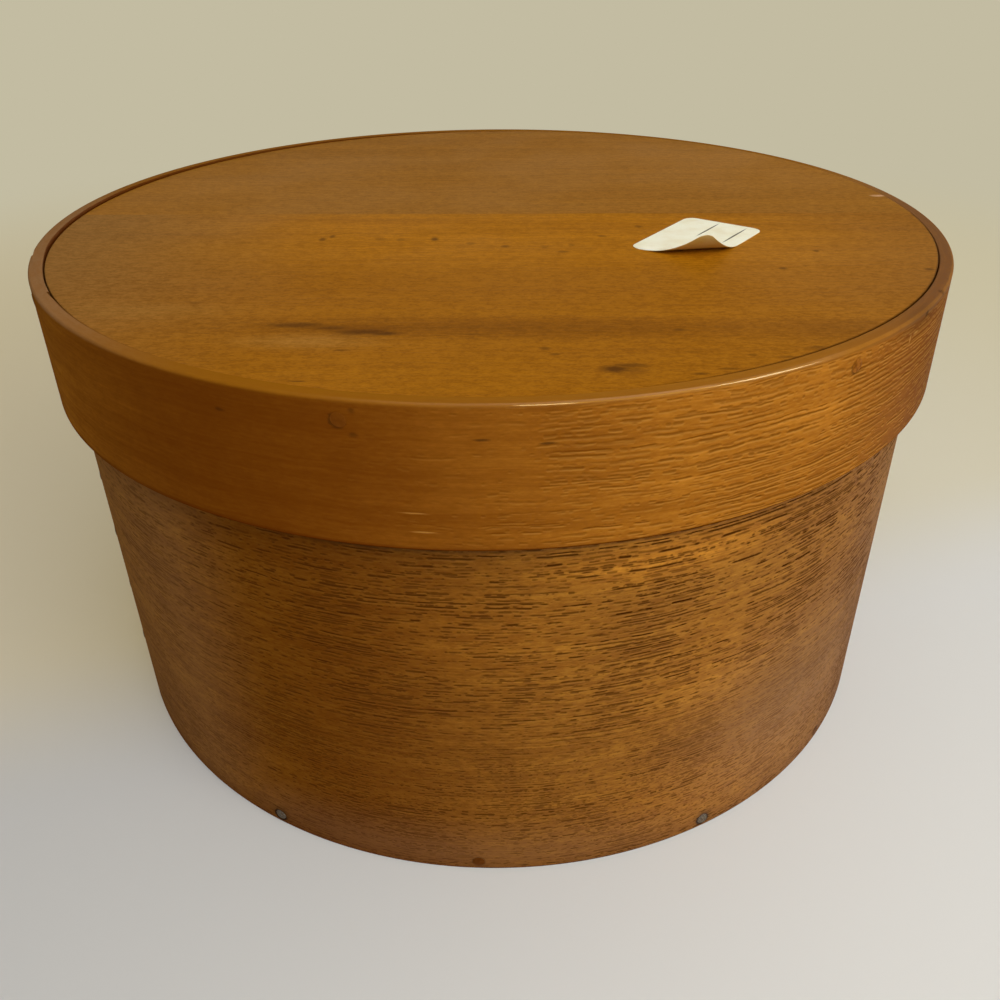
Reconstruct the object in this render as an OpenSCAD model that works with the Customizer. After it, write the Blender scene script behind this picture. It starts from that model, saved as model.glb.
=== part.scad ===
// Round bentwood pantry box with a lid that lifts off.
// One steam-bent oak strip makes the wall of the body and another the rim of the lid. The ends
// of each strip are tapered, lapped over each other and held by tacks, whose points are turned
// over into the wood inside. Wooden pegs and nails pin the strips to the boards.
// The origin is the middle of the base, +Z is up and the front is towards -Y.
// A place round the box is in degrees from the front, counted towards +X.

/* [Box] */
// Height from the table to the top of the lid's rim
overall_height = 180; // [140:1:240]
// Outside diameter of the lid
lid_diameter = 330; // [260:1:400]
// Room on the radius between the lid's band and the body's band
lid_fit = 0.5; // [0.3:0.1:1.2]

/* [Body] */
// Thickness of the body's band
body_band_thickness = 4.5; // [4:0.1:6]
// Thickness of the bottom board
bottom_board_thickness = 7; // [6:0.5:14]
// Height of the bottom board's underside above the table
bottom_recess = 0.4; // [0.2:0.1:3]
// Radius on the long edges of the body's band
body_edge_round = 0.9; // [0.3:0.1:1.5]

/* [Lid] */
// Height of the lid's band
lid_band_height = 42; // [32:1:60]
// Thickness of the lid's band
lid_band_thickness = 4.5; // [4:0.1:6]
// Thickness of the two boards that close the lid
lid_board_thickness = 10; // [8:0.5:14]
// Depth of the boards below the top of the rim
rim_depth = 0.8; // [0.4:0.1:3]
// Radius worn on the outer edge of the rim
rim_round = 1.4; // [1:0.1:3.2]
// Radius on the other edges of the lid's band
lid_edge_round = 0.7; // [0.3:0.1:0.8]
// Turn of the glued joint between the lid's boards, away from side to side
board_joint_turn = -2.4; // [-10:0.2:10]

/* [Boards] */
// Gap between a board and the band round it
board_gap = 0.35; // [0.1:0.05:0.8]
// Radius on the round edges of the boards
board_edge_round = 0.6; // [0.3:0.1:1.5]

/* [Laps] */
// Place of the outer end of both laps
lap_end = -73.4; // [-120:0.2:-70]
// Length of the lap along the band
lap_length = 42; // [34:1:60]
// Thickness of a strip at its tapered end
lap_end_thickness = 0.8; // [0.5:0.1:1.1]
// Width of the glue line in the lap
glue_line = 0.12; // [0.08:0.02:0.2]

/* [Tacks] */
// Distance of the row of tacks from the outer end of the lap
tack_inset = 12; // [8:1:20]
// Number of tacks in the body's lap
body_tack_count = 5; // [2:1:7]
// Number of tacks in the lid's lap
lid_tack_count = 2; // [1:1:3]
// Diameter of a tack's head
tack_head = 5.4; // [4:0.1:7]
// Height of a tack's head
tack_head_height = 0.8; // [0.5:0.1:1.2]
// Diameter of a tack's shank
tack_shank = 1.6; // [1.2:0.1:2]
// Thickness of the point that is turned over
tack_point = 1.3; // [1:0.1:1.5]
// Length of the point that is turned over
tack_turn = 5; // [3:0.5:7]
// Depth of the turned point below the inner face of the band
tack_sink = 0.3; // [0.1:0.1:0.6]

/* [Pegs] */
// Diameter of a wooden peg
peg_diameter = 4.2; // [3:0.1:5.5]
// Length of a peg inside its board
peg_length = 16; // [10:1:30]
// Height of a peg's end above the face of the band
peg_proud = 0.15; // [0.05:0.05:0.5]
// Number of pegs in each board of the lid
lid_peg_count = 3; // [2:1:3]
// Place of the first peg of the lid's front board
lid_peg_start = -62.9; // [-80:0.1:-50]
// Step from one peg of a lid board to the next
lid_peg_step = 49.6; // [30:0.1:60]

/* [Nails] */
// Diameter of a nail's head
nail_head = 5; // [4:0.1:6]
// Height of a nail's head
nail_head_height = 0.9; // [0.5:0.1:1.3]
// Depth of the seat that a nail's head sinks into
nail_sink = 0.7; // [0.3:0.1:1]
// Room round a nail's head in its seat
nail_seat_room = 0.3; // [0.1:0.05:0.4]
// Diameter of a nail's shank
nail_shank = 2; // [1.4:0.1:3]
// Length of a nail inside its board
nail_length = 18; // [10:1:30]
// Length of a nail's tapered tip
nail_tip = 4; // [2:0.5:6]

/* [Holes] */
// Room round a peg, a nail or a tack in its hole
pin_fit = 0.05; // [0.02:0.01:0.15]
// Empty depth of a hole past the end of its peg or nail
hole_spare = 0.6; // [0.2:0.1:2]

/* [Label] */
// Length of the paper label
label_length = 45; // [30:1:70]
// Width of the paper label
label_width = 30; // [20:1:50]
// Thickness of the paper
label_thickness = 0.2; // [0.15:0.01:0.4]
// Radius of the label's corners
label_corner = 4; // [1:0.5:8]
// Distance of the label's middle from the middle of the lid, to the right
label_right = 73; // [-80:0.2:80]
// Distance of the label's middle from the middle of the lid, to the front
label_front = 33.8; // [-80:0.2:80]
// Turn of the label's long side from the box's side-to-side line
label_turn = 53; // [0:1:360]
// Distance from the label's loose corner to the line where it lifts off the lid
label_lift = 16; // [8:0.1:20]
// Turn of that line from the label's long side
label_lift_turn = 46; // [20:1:70]
// Radius of the curl in the loose corner
label_curl = 12; // [9:0.5:40]

/* [Hidden] */

// Places of the pins round the base; every other one is a nail
base_pin_places = [-61, -29.4, -2.6, 26.6, 50.5, 82, 113, 144, 175, 206, 237, 268];

lid_radius = lid_diameter / 2;
lid_inner = lid_radius - lid_band_thickness;
lid_low = overall_height - lid_band_height;
lid_board_top = overall_height - rim_depth;
lid_board_low = lid_board_top - lid_board_thickness;
lid_board_radius = lid_inner - board_gap;
lid_peg_height = lid_board_low + lid_board_thickness / 2;

// The lid's boards rest on the top edge of the body's band.
body_high = lid_board_low;
body_radius = lid_inner - lid_fit;
body_inner = body_radius - body_band_thickness;
bottom_board_radius = body_inner - board_gap;
bottom_board_top = bottom_recess + bottom_board_thickness;
base_pin_height = bottom_recess + bottom_board_thickness / 2;

// Overshoot of a cutting shape past the face that it opens
overshoot = 1;
// Length over which the valley at a lap's end may run out
lap_run_out = 40;
// Facets of a band or a board, and of a pin
$fn = 180;
pin_facets = 36;
// Points round the label's edge in each corner, and rings between its middle and its edge
label_corner_points = 7;
label_rings = 10;

oak = [0.45, 0.28, 0.11];
oak_rim = [0.5, 0.28, 0.08];
pine = [0.62, 0.41, 0.14];
peg_wood = [0.34, 0.2, 0.08];
iron = [0.33, 0.31, 0.29];
paper = [0.93, 0.89, 0.78];

// Point at a distance from the axis and at a place round the box
function round_point(radius, place) = radius * [sin(place), -cos(place)];

// Degrees that an arc of a given length takes up
function arc_degrees(length, radius) = length / radius * 180 / PI;

// Centre of the circle of a given radius through p and q, on the left of the way from p to q
function circle_centre(p, q, radius) =
    let (half = norm(q - p) / 2)
    let (ahead = (q - p) / (2 * half))
    (p + q) / 2 + sqrt(radius * radius - half * half) * [-ahead.y, ahead.x];

// Height of row i of a number of rows spread evenly between two heights
function row_height(low, high, count, i) = low + (high - low) * (i + 0.5) / count;

// Stands its children at a place round the box, with +X pointing out from the axis.
module stand_at(place, height) {
    translate([0, 0, height])
        rotate([0, 0, place - 90])
            children();
}

// Lays a shape that is drawn along +Z along +X, from a given distance from the axis.
module lay_out(distance) {
    translate([distance, 0, 0])
        rotate([0, 90, 0])
            children();
}

// The waste outside a rounded corner, where out points out of the corner.
module corner_waste(corner, out, radius) {
    difference() {
        translate(corner)
            square(2 * radius, center = true);
        translate(corner - radius * out)
            circle(radius);
    }
}

// The section of a band, with a radius on its outer top edge and one on its other edges.
module band_section(inner, outer, low, high, top_round, edge_round) {
    difference() {
        translate([inner, low])
            square([outer - inner, high - low]);
        corner_waste([outer, high], [1, 1], top_round);
        corner_waste([inner, high], [-1, 1], edge_round);
        corner_waste([outer, low], [1, -1], edge_round);
        corner_waste([inner, low], [-1, -1], edge_round);
    }
}

// A flat wedge with its point on the axis, between two places.
module wedge(from, to, reach) {
    polygon([[0, 0], round_point(reach, from), round_point(reach, to)]);
}

// The cut that parts the two ends of a bent strip. A glue line slants from the outer face to
// the inner face. Each end stops square at its own thickness, and past it the other end's face
// runs on to the surface in a shallow valley.
module lap_cut(inner, outer, low, high) {
    middle = (inner + outer) / 2;
    lap_inner_end = lap_end + arc_degrees(lap_length, middle);
    valley = arc_degrees(lap_run_out, middle);
    reach = 2 * outer;
    centre = circle_centre(
        round_point(outer - lap_end_thickness, lap_end),
        round_point(inner + lap_end_thickness, lap_inner_end),
        middle
    );
    translate([0, 0, low - overshoot])
        linear_extrude(high - low + 2 * overshoot) {
            intersection() {
                wedge(lap_end, lap_inner_end, reach);
                translate(centre)
                    difference() {
                        circle(middle + glue_line / 2);
                        circle(middle - glue_line / 2);
                    }
            }
            difference() {
                intersection() {
                    wedge(lap_end - valley, lap_end, reach);
                    circle(outer + overshoot);
                }
                translate(centre)
                    circle(middle - glue_line / 2);
            }
            intersection() {
                wedge(lap_inner_end, lap_inner_end + valley, reach);
                translate(centre)
                    circle(middle + glue_line / 2);
            }
        }
}

// A bent strip with its lap cut.
module bent_band(inner, outer, low, high, top_round, edge_round) {
    difference() {
        rotate_extrude()
            band_section(inner, outer, low, high, top_round, edge_round);
        lap_cut(inner, outer, low, high);
    }
}

// A low domed head, drawn from its flat seat upwards.
module domed_head(diameter, height) {
    rim = height / 3;
    crown = height - rim;
    ball = (diameter * diameter / 4 + crown * crown) / (2 * crown);
    rotate_extrude($fn = pin_facets)
        intersection() {
            square([diameter / 2, height]);
            translate([0, height - ball])
                circle(ball, $fn = 4 * pin_facets);
        }
}

// Place of the row of tacks in a lap
function tack_place(inner, outer) = lap_end + arc_degrees(tack_inset, (inner + outer) / 2);

// One tack, driven inwards, with its point turned down against the inner side of the band.
module tack(inner, outer) {
    shank_end = inner + tack_sink;
    lay_out(outer)
        domed_head(tack_head, tack_head_height);
    lay_out(shank_end)
        cylinder(h = outer - shank_end, d = tack_shank, $fn = pin_facets);
    translate([shank_end + tack_shank / 2, 0, -tack_turn])
        cylinder(h = tack_turn, d = tack_point, $fn = pin_facets);
}

// The hole for a tack and the groove that takes its turned point.
module tack_hole(inner, outer) {
    hole = tack_shank + 2 * pin_fit;
    depth = tack_sink + tack_shank / 2 + tack_point / 2 + pin_fit;
    lay_out(inner - overshoot)
        cylinder(h = outer - inner + 2 * overshoot, d = hole, $fn = pin_facets);
    translate([inner - overshoot, -hole / 2, -tack_turn - pin_fit])
        cube([depth + overshoot, hole, tack_turn + pin_fit]);
}

// Repeats its children at every tack of a lap, between two heights.
module each_tack(inner, outer, low, high, count) {
    for (i = [0 : count - 1])
        stand_at(tack_place(inner, outer), row_height(low, high, count, i))
            children();
}

// One peg, driven inwards through a band into the edge of a board.
module peg(board_radius, outer) {
    lay_out(board_radius - peg_length)
        cylinder(h = outer + peg_proud - board_radius + peg_length, d = peg_diameter, $fn = pin_facets);
}

// The hole for a peg, through the band and into the board.
module peg_hole(board_radius, outer) {
    depth = peg_length + hole_spare;
    lay_out(board_radius - depth)
        cylinder(
            h = outer + overshoot - board_radius + depth,
            d = peg_diameter + 2 * pin_fit,
            $fn = pin_facets
        );
}

// Repeats its children at every peg of the lid's boards, half of them in each board.
module each_lid_peg() {
    for (board_turn = [0, 180])
        for (i = [0 : lid_peg_count - 1])
            stand_at(lid_peg_start + board_turn + i * lid_peg_step, lid_peg_height)
                children();
}

// Repeats its children at every second pin round the base, from the given one.
module each_base_pin(first) {
    for (i = [first : 2 : len(base_pin_places) - 1])
        stand_at(base_pin_places[i], base_pin_height)
            children();
}

// One nail, driven inwards through the band into the edge of the bottom board. Its head lies in a seat.
module nail() {
    seat = body_radius - nail_sink;
    tip_end = bottom_board_radius - nail_length;
    lay_out(seat)
        domed_head(nail_head, nail_head_height);
    lay_out(tip_end + nail_tip)
        cylinder(h = seat - tip_end - nail_tip, d = nail_shank, $fn = pin_facets);
    lay_out(tip_end)
        cylinder(h = nail_tip, d1 = nail_shank / 4, d2 = nail_shank, $fn = pin_facets);
}

// The hole for a nail, through the band and into the board, with a seat for its head.
module nail_hole() {
    depth = nail_length + hole_spare;
    lay_out(body_radius - nail_sink)
        cylinder(h = nail_sink + overshoot, d = nail_head + 2 * nail_seat_room, $fn = pin_facets);
    lay_out(bottom_board_radius - depth)
        cylinder(
            h = body_radius + overshoot - bottom_board_radius + depth,
            d = nail_shank + 2 * pin_fit,
            $fn = pin_facets
        );
}

// The section of a round board, with its outer edges softened.
module board_section(radius, low, high) {
    difference() {
        translate([0, low])
            square([radius, high - low]);
        corner_waste([radius, high], [1, 1], board_edge_round);
        corner_waste([radius, low], [1, -1], board_edge_round);
    }
}

// One of the lid's two boards, a half disc from the glued joint onwards.
module lid_half_board(start) {
    difference() {
        rotate_extrude(angle = 180, start = start)
            board_section(lid_board_radius, lid_board_low, lid_board_top);
        each_lid_peg()
            peg_hole(lid_board_radius, lid_radius);
    }
}

// Points along the label's edge: a quarter circle in each corner, in turn.
function label_edge() = [
    for (corner = [0 : 3])
        for (i = [0 : label_corner_points - 1])
            let (angle = 90 * (corner + i / (label_corner_points - 1)))
            let (side_x = (corner == 0 || corner == 3) ? 1 : -1)
            let (side_y = corner < 2 ? 1 : -1)
            [
                side_x * (label_length / 2 - label_corner) + label_corner * cos(angle),
                side_y * (label_width / 2 - label_corner) + label_corner * sin(angle)
            ]
];

// A point of the flat label after the corner has curled up. The paper keeps its length along
// the curl, which rises as an arc from the line where the label leaves the lid.
function label_curled(point, above) =
    let (out = [-sin(label_lift_turn), -cos(label_lift_turn)])
    let (loose_corner = [-label_length / 2, -label_width / 2])
    let (past = (point - loose_corner) * out + label_lift)
    let (bend = max(past, 0) / label_curl * 180 / PI)
    let (along = past > 0 ? (label_curl - above) * sin(bend) : past)
    let (shift = (along - past) * out)
    [point.x + shift.x, point.y + shift.y, label_curl - (label_curl - above) * cos(bend)];

module body_band() {
    color(oak)
        difference() {
            bent_band(body_inner, body_radius, 0, body_high, body_edge_round, body_edge_round);
            each_tack(body_inner, body_radius, bottom_board_top, lid_low, body_tack_count)
                tack_hole(body_inner, body_radius);
            each_base_pin(0)
                peg_hole(bottom_board_radius, body_radius);
            each_base_pin(1)
                nail_hole();
        }
}

module bottom_board() {
    color(pine)
        difference() {
            rotate_extrude()
                board_section(bottom_board_radius, bottom_recess, bottom_board_top);
            each_base_pin(0)
                peg_hole(bottom_board_radius, body_radius);
            each_base_pin(1)
                nail_hole();
        }
}

module body_seam_tacks() {
    color(iron)
        each_tack(body_inner, body_radius, bottom_board_top, lid_low, body_tack_count)
            tack(body_inner, body_radius);
}

module bottom_nails() {
    color(iron)
        each_base_pin(1)
            nail();
}

module bottom_pegs() {
    color(peg_wood)
        each_base_pin(0)
            peg(bottom_board_radius, body_radius);
}

module lid_band() {
    color(oak_rim)
        difference() {
            bent_band(lid_inner, lid_radius, lid_low, overall_height, rim_round, lid_edge_round);
            each_tack(lid_inner, lid_radius, lid_low, lid_board_low, lid_tack_count)
                tack_hole(lid_inner, lid_radius);
            each_lid_peg()
                peg_hole(lid_board_radius, lid_radius);
        }
}

module lid_board_front() {
    color(pine)
        lid_half_board(180 + board_joint_turn);
}

module lid_board_back() {
    color(pine)
        lid_half_board(board_joint_turn);
}

module lid_seam_tacks() {
    color(iron)
        each_tack(lid_inner, lid_radius, lid_low, lid_board_low, lid_tack_count)
            tack(lid_inner, lid_radius);
}

module lid_pegs() {
    color(peg_wood)
        each_lid_peg()
            peg(lid_board_radius, lid_radius);
}

module paper_label() {
    edge = label_edge();
    count = len(edge);
    // Each face of the paper is rings of points round a middle point.
    face_points = count * label_rings + 1;
    points = [
        for (above = [0, label_thickness])
            for (ring = [0 : label_rings])
                for (i = [0 : (ring == 0 ? 0 : count - 1)])
                    label_curled(edge[i] * ring / label_rings, above)
    ];
    function ring_point(side, ring, i) =
        side * face_points + (ring == 0 ? 0 : 1 + (ring - 1) * count + i % count);
    // Triangles between two rings of one face, seen from below or turned over for the top
    function turned(side, triangle) = side == 0 ? triangle : [triangle[2], triangle[1], triangle[0]];
    triangles = [
        for (side = [0, 1])
            for (ring = [0 : label_rings - 1])
                for (i = [0 : count - 1])
                    for (half = [0 : (ring == 0 ? 0 : 1)])
                        turned(side, half == 0
                            ? [
                                ring_point(side, ring, i),
                                ring_point(side, ring + 1, i),
                                ring_point(side, ring + 1, i + 1)
                            ]
                            : [
                                ring_point(side, ring, i),
                                ring_point(side, ring + 1, i + 1),
                                ring_point(side, ring, i + 1)
                            ])
    ];
    walls = [
        for (i = [0 : count - 1])
            for (half = [0, 1])
                half == 0
                    ? [
                        ring_point(0, label_rings, i),
                        ring_point(1, label_rings, i),
                        ring_point(1, label_rings, i + 1)
                    ]
                    : [
                        ring_point(0, label_rings, i),
                        ring_point(1, label_rings, i + 1),
                        ring_point(0, label_rings, i + 1)
                    ]
    ];
    color(paper)
        translate([label_right, -label_front, lid_board_top])
            rotate([0, 0, label_turn])
                polyhedron(points = points, faces = concat(triangles, walls));
}

body_band();
bottom_board();
body_seam_tacks();
bottom_nails();
bottom_pegs();
lid_band();
lid_board_front();
lid_board_back();
lid_seam_tacks();
lid_pegs();
paper_label();
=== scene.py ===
"""Looks of a round bentwood pantry box: bent oak bands, boards, pegs, nails, tacks and a paper label.

The box stands on the middle of its base, +Z is up and the front is towards -Y, in metres. A place
round the box is an angle from the front, counted towards +X.
"""

import logging
import math
from collections.abc import Sequence
from dataclasses import dataclass, field, replace
from enum import Enum
from functools import cache

import bmesh
import bpy
import numpy as np
from mathutils import Matrix, Vector


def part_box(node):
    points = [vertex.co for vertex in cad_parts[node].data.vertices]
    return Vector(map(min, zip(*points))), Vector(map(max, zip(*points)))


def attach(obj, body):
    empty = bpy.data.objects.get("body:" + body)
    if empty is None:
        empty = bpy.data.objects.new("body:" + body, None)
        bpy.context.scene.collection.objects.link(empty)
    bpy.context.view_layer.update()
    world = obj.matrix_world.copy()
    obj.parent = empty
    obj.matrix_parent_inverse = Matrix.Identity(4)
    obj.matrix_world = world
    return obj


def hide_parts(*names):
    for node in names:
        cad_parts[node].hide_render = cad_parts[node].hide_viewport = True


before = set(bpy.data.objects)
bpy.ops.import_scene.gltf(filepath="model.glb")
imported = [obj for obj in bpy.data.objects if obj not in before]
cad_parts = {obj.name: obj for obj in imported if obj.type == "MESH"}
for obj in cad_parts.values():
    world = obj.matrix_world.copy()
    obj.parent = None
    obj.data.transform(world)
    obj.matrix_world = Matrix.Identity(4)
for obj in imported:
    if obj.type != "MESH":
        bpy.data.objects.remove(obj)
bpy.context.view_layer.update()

log = logging.getLogger("pantry_box")

Array = np.ndarray
Pair = tuple[float, float]
Colour = tuple[float, float, float, float]
Socket = bpy.types.NodeSocket

MM = 0.001
TURN = 2 * math.pi

# How far from an arris a band's edge value begins to fall, and where it has fallen to 0
EDGE_FULL = 0.48 * MM
EDGE_REACH = 2.08 * MM
# Gap between a board and the band round it
BOARD_GAP = 0.35 * MM
# Turn of the joint between the lid's boards, away from side to side
JOINT_TURN = math.radians(-2.4)
# Mean of a noise texture, and the values between which a pattern passes from one colour to the other
NOISE_MEAN = 0.5
PATTERN_RANGE = (0.3, 0.7)
# How much rougher bare wood is than varnished wood
BARE_ROUGH = 0.25


class Body(Enum):
    """The two bodies that pieces ride on."""

    BOX = "box"
    LID = "lid"


class Slot(Enum):
    """The record's material slots."""

    BODY_OAK = "body_oak"
    LID_OAK = "lid_oak"
    LID_PINE = "lid_pine"
    BOTTOM_PINE = "bottom_pine"
    PEG_WOOD = "peg_wood"
    NAIL_IRON = "nail_iron"
    TACK_IRON = "tack_iron"
    LABEL_PAPER = "label_paper"


def srgb(red: int, green: int, blue: int) -> Colour:
    """Turns a colour as a picture shows it, 0 to 255, into linear light.

    Args:
        red: red, 0 to 255.
        green: green, 0 to 255.
        blue: blue, 0 to 255.

    Returns:
        The linear colour with an alpha of 1.
    """
    shown = np.array([red, green, blue]) / 255
    linear = np.where(shown <= 0.04045, shown / 12.92, ((shown + 0.055) / 1.055) ** 2.4)
    return (*linear.tolist(), 1.0)


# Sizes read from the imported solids


@dataclass(frozen=True)
class RoundNode:
    """Radius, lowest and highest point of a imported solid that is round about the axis."""

    radius: float
    low: float
    high: float

    @classmethod
    def of(cls, node: str) -> "RoundNode":
        """Reads a node's size, to a hundredth of a millimetre.

        Args:
            node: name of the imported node.

        Returns:
            Its radius and heights.
        """
        low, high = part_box(node)
        radius = max(high.x, high.y, -low.x, -low.y)
        return cls(round(radius, 5), round(low.z, 5), round(high.z, 5))


# Surfaces on a grid


def grid_quads(rows: int, columns: int, wrap_rows: bool = False, wrap_columns: bool = False) -> Array:
    """Lists the quads between neighbouring points of a grid that is numbered row by row.

    Args:
        rows: number of rows.
        columns: number of points in a row.
        wrap_rows: join the last row to the first.
        wrap_columns: join the last point of a row to its first.

    Returns:
        Point numbers, four for each quad.
    """
    row = np.arange(rows if wrap_rows else rows - 1)[:, None]
    column = np.arange(columns if wrap_columns else columns - 1)[None, :]
    row_on, column_on = (row + 1) % rows, (column + 1) % columns
    corners = (
        row * columns + column,
        row * columns + column_on,
        row_on * columns + column_on,
        row_on * columns + column,
    )
    return np.stack(np.broadcast_arrays(*corners), axis=-1).reshape(-1, 4)


def ladder_quads(start: int, columns: int) -> Array:
    """Closes a row's outline with quads whose rungs join the points j and (last - j).

    Args:
        start: number of the row's first point.
        columns: number of points in the row, an even number.

    Returns:
        Point numbers, four for each quad.
    """
    rung = np.arange(columns // 2 - 1)
    last = columns - 1
    return start + np.stack([rung, last - rung, last - 1 - rung, rung + 1], axis=-1)


def turned_outwards(points: Array, quads: Array) -> bool:
    """Tells whether the quads of a closed surface point outwards, from the sign of its volume.

    The volume is the sum over triangles of a . (b x c) / 6.

    Args:
        points: the surface's points.
        quads: point numbers, four for each quad.

    Returns:
        True where the volume is positive.
    """
    a, b, c, d = (points[quads[:, i]] for i in range(4))
    volume = np.einsum("ij,ij->i", a, np.cross(b, c)) + np.einsum("ij,ij->i", a, np.cross(c, d))
    return float(volume.sum()) > 0


def mesh_object(
    name: str,
    points: Array,
    quads: Array,
    uv: Array | None = None,
    layers: dict[str, Array] | None = None,
    sharp: float = 40.0,
) -> bpy.types.Object:
    """Makes an object from points and quads, welds its poles and shades it smooth.

    Args:
        name: name of the object.
        points: points, three numbers each.
        quads: point numbers, four for each quad, all pointing the same way.
        uv: place of each quad's corners on the flat material, four for each quad.
        layers: a value at every point for each named attribute.
        sharp: angle in degrees past which an edge stays sharp.

    Returns:
        The object, at the origin.
    """
    if not turned_outwards(points, quads):
        quads = quads[:, ::-1]
        uv = None if uv is None else uv[:, ::-1]
    mesh = bpy.data.meshes.new(name)
    mesh.from_pydata(points.tolist(), [], quads.tolist())
    if uv is not None:
        mesh.uv_layers.new(name="flat").data.foreach_set("uv", uv.astype(np.float32).ravel())
    for layer, values in (layers or {}).items():
        attribute = mesh.attributes.new(layer, "FLOAT", "POINT")
        attribute.data.foreach_set("value", values.astype(np.float32).ravel())
    shape = bmesh.new()
    shape.from_mesh(mesh)
    bmesh.ops.remove_doubles(shape, verts=shape.verts, dist=1e-7)
    shape.to_mesh(mesh)
    shape.free()
    mesh.polygons.foreach_set("use_smooth", np.ones(len(mesh.polygons), dtype=bool))
    mesh.set_sharp_from_angle(angle=math.radians(sharp))
    made = bpy.data.objects.new(name, mesh)
    bpy.context.scene.collection.objects.link(made)
    return made


def round_points(radius: Array, place: Array, height: Array) -> Array:
    """Points at a distance from the axis, a place round the box and a height.

    Args:
        radius: distances from the axis.
        place: angles from the front, counted towards +X.
        height: heights.

    Returns:
        Points of the arguments' common shape, with a last axis of three.
    """
    parts = (radius * np.sin(place), -radius * np.cos(place), height + 0 * place)
    return np.stack(np.broadcast_arrays(*parts), axis=-1)


@dataclass(frozen=True)
class Waves:
    """A slow wander round the box: the sum of size * cos(order * place - phase)."""

    terms: tuple[tuple[int, float, float], ...] = ()

    def at(self, place: Array) -> Array:
        """The wander at each place, in metres.

        Args:
            place: angles from the front.

        Returns:
            The sum of the waves, of the same shape.
        """
        total = np.zeros_like(place)
        for order, size, phase in self.terms:
            total = total + size * MM * np.cos(order * place - math.radians(phase))
        return total


@dataclass(frozen=True)
class Lap:
    """The tapered lap of a bent strip. Its glue line slants from the outer to the inner face."""

    end: float = math.radians(-73.4)
    length: float = 42 * MM
    end_thickness: float = 0.8 * MM
    glue_line: float = 0.02 * MM
    run_out: float = 40 * MM

    def glue_radius(self, place: Array, inner: float, outer: float) -> Array:
        """Distance of the glue line from the axis.

        The line is a circle of the band's middle radius R through both ends of the lap, so it is off
        centre at c. Along the direction d its distance is c.d + sqrt(R^2 - c.c + (c.d)^2).

        Args:
            place: angles from the front.
            inner: inner radius of the band.
            outer: outer radius of the band.

        Returns:
            The distances, of the places' shape.
        """
        middle = (inner + outer) / 2
        ends = np.array([self.end, self.end + self.length / middle])
        reach = np.array([outer - self.end_thickness, inner + self.end_thickness])
        first, second = round_points(reach, ends, np.zeros(2))[:, :2]
        half = np.linalg.norm(second - first) / 2
        ahead = (second - first) / (2 * half)
        left = np.array([-ahead[1], ahead[0]])
        centre = (first + second) / 2 + math.sqrt(middle**2 - half**2) * left
        along = centre[0] * np.sin(place) - centre[1] * np.cos(place)
        return along + np.sqrt(middle**2 - centre @ centre + along**2)

    def faces(self, inner: float, outer: float, steps: int) -> tuple[Array, Array, Array]:
        """Places along the strip with its two faces, from the outer end round to the inner end.

        Args:
            inner: inner radius of the band.
            outer: outer radius of the band.
            steps: number of places.

        Returns:
            The places, the inner face's radius and the outer face's radius.
        """
        middle = (inner + outer) / 2
        lap, valley = self.length / middle, self.run_out / middle
        place = np.linspace(self.end, self.end + TURN + lap, steps)
        glue = self.glue_radius(place, inner, outer)
        at_start = place < self.end + lap + valley
        at_finish = place > self.end + TURN - valley
        inside = np.where(at_start, np.maximum(inner, glue + self.glue_line / 2), inner)
        outside = np.where(at_finish, np.minimum(outer, glue - self.glue_line / 2), outer)
        return place, inside, outside


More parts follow.
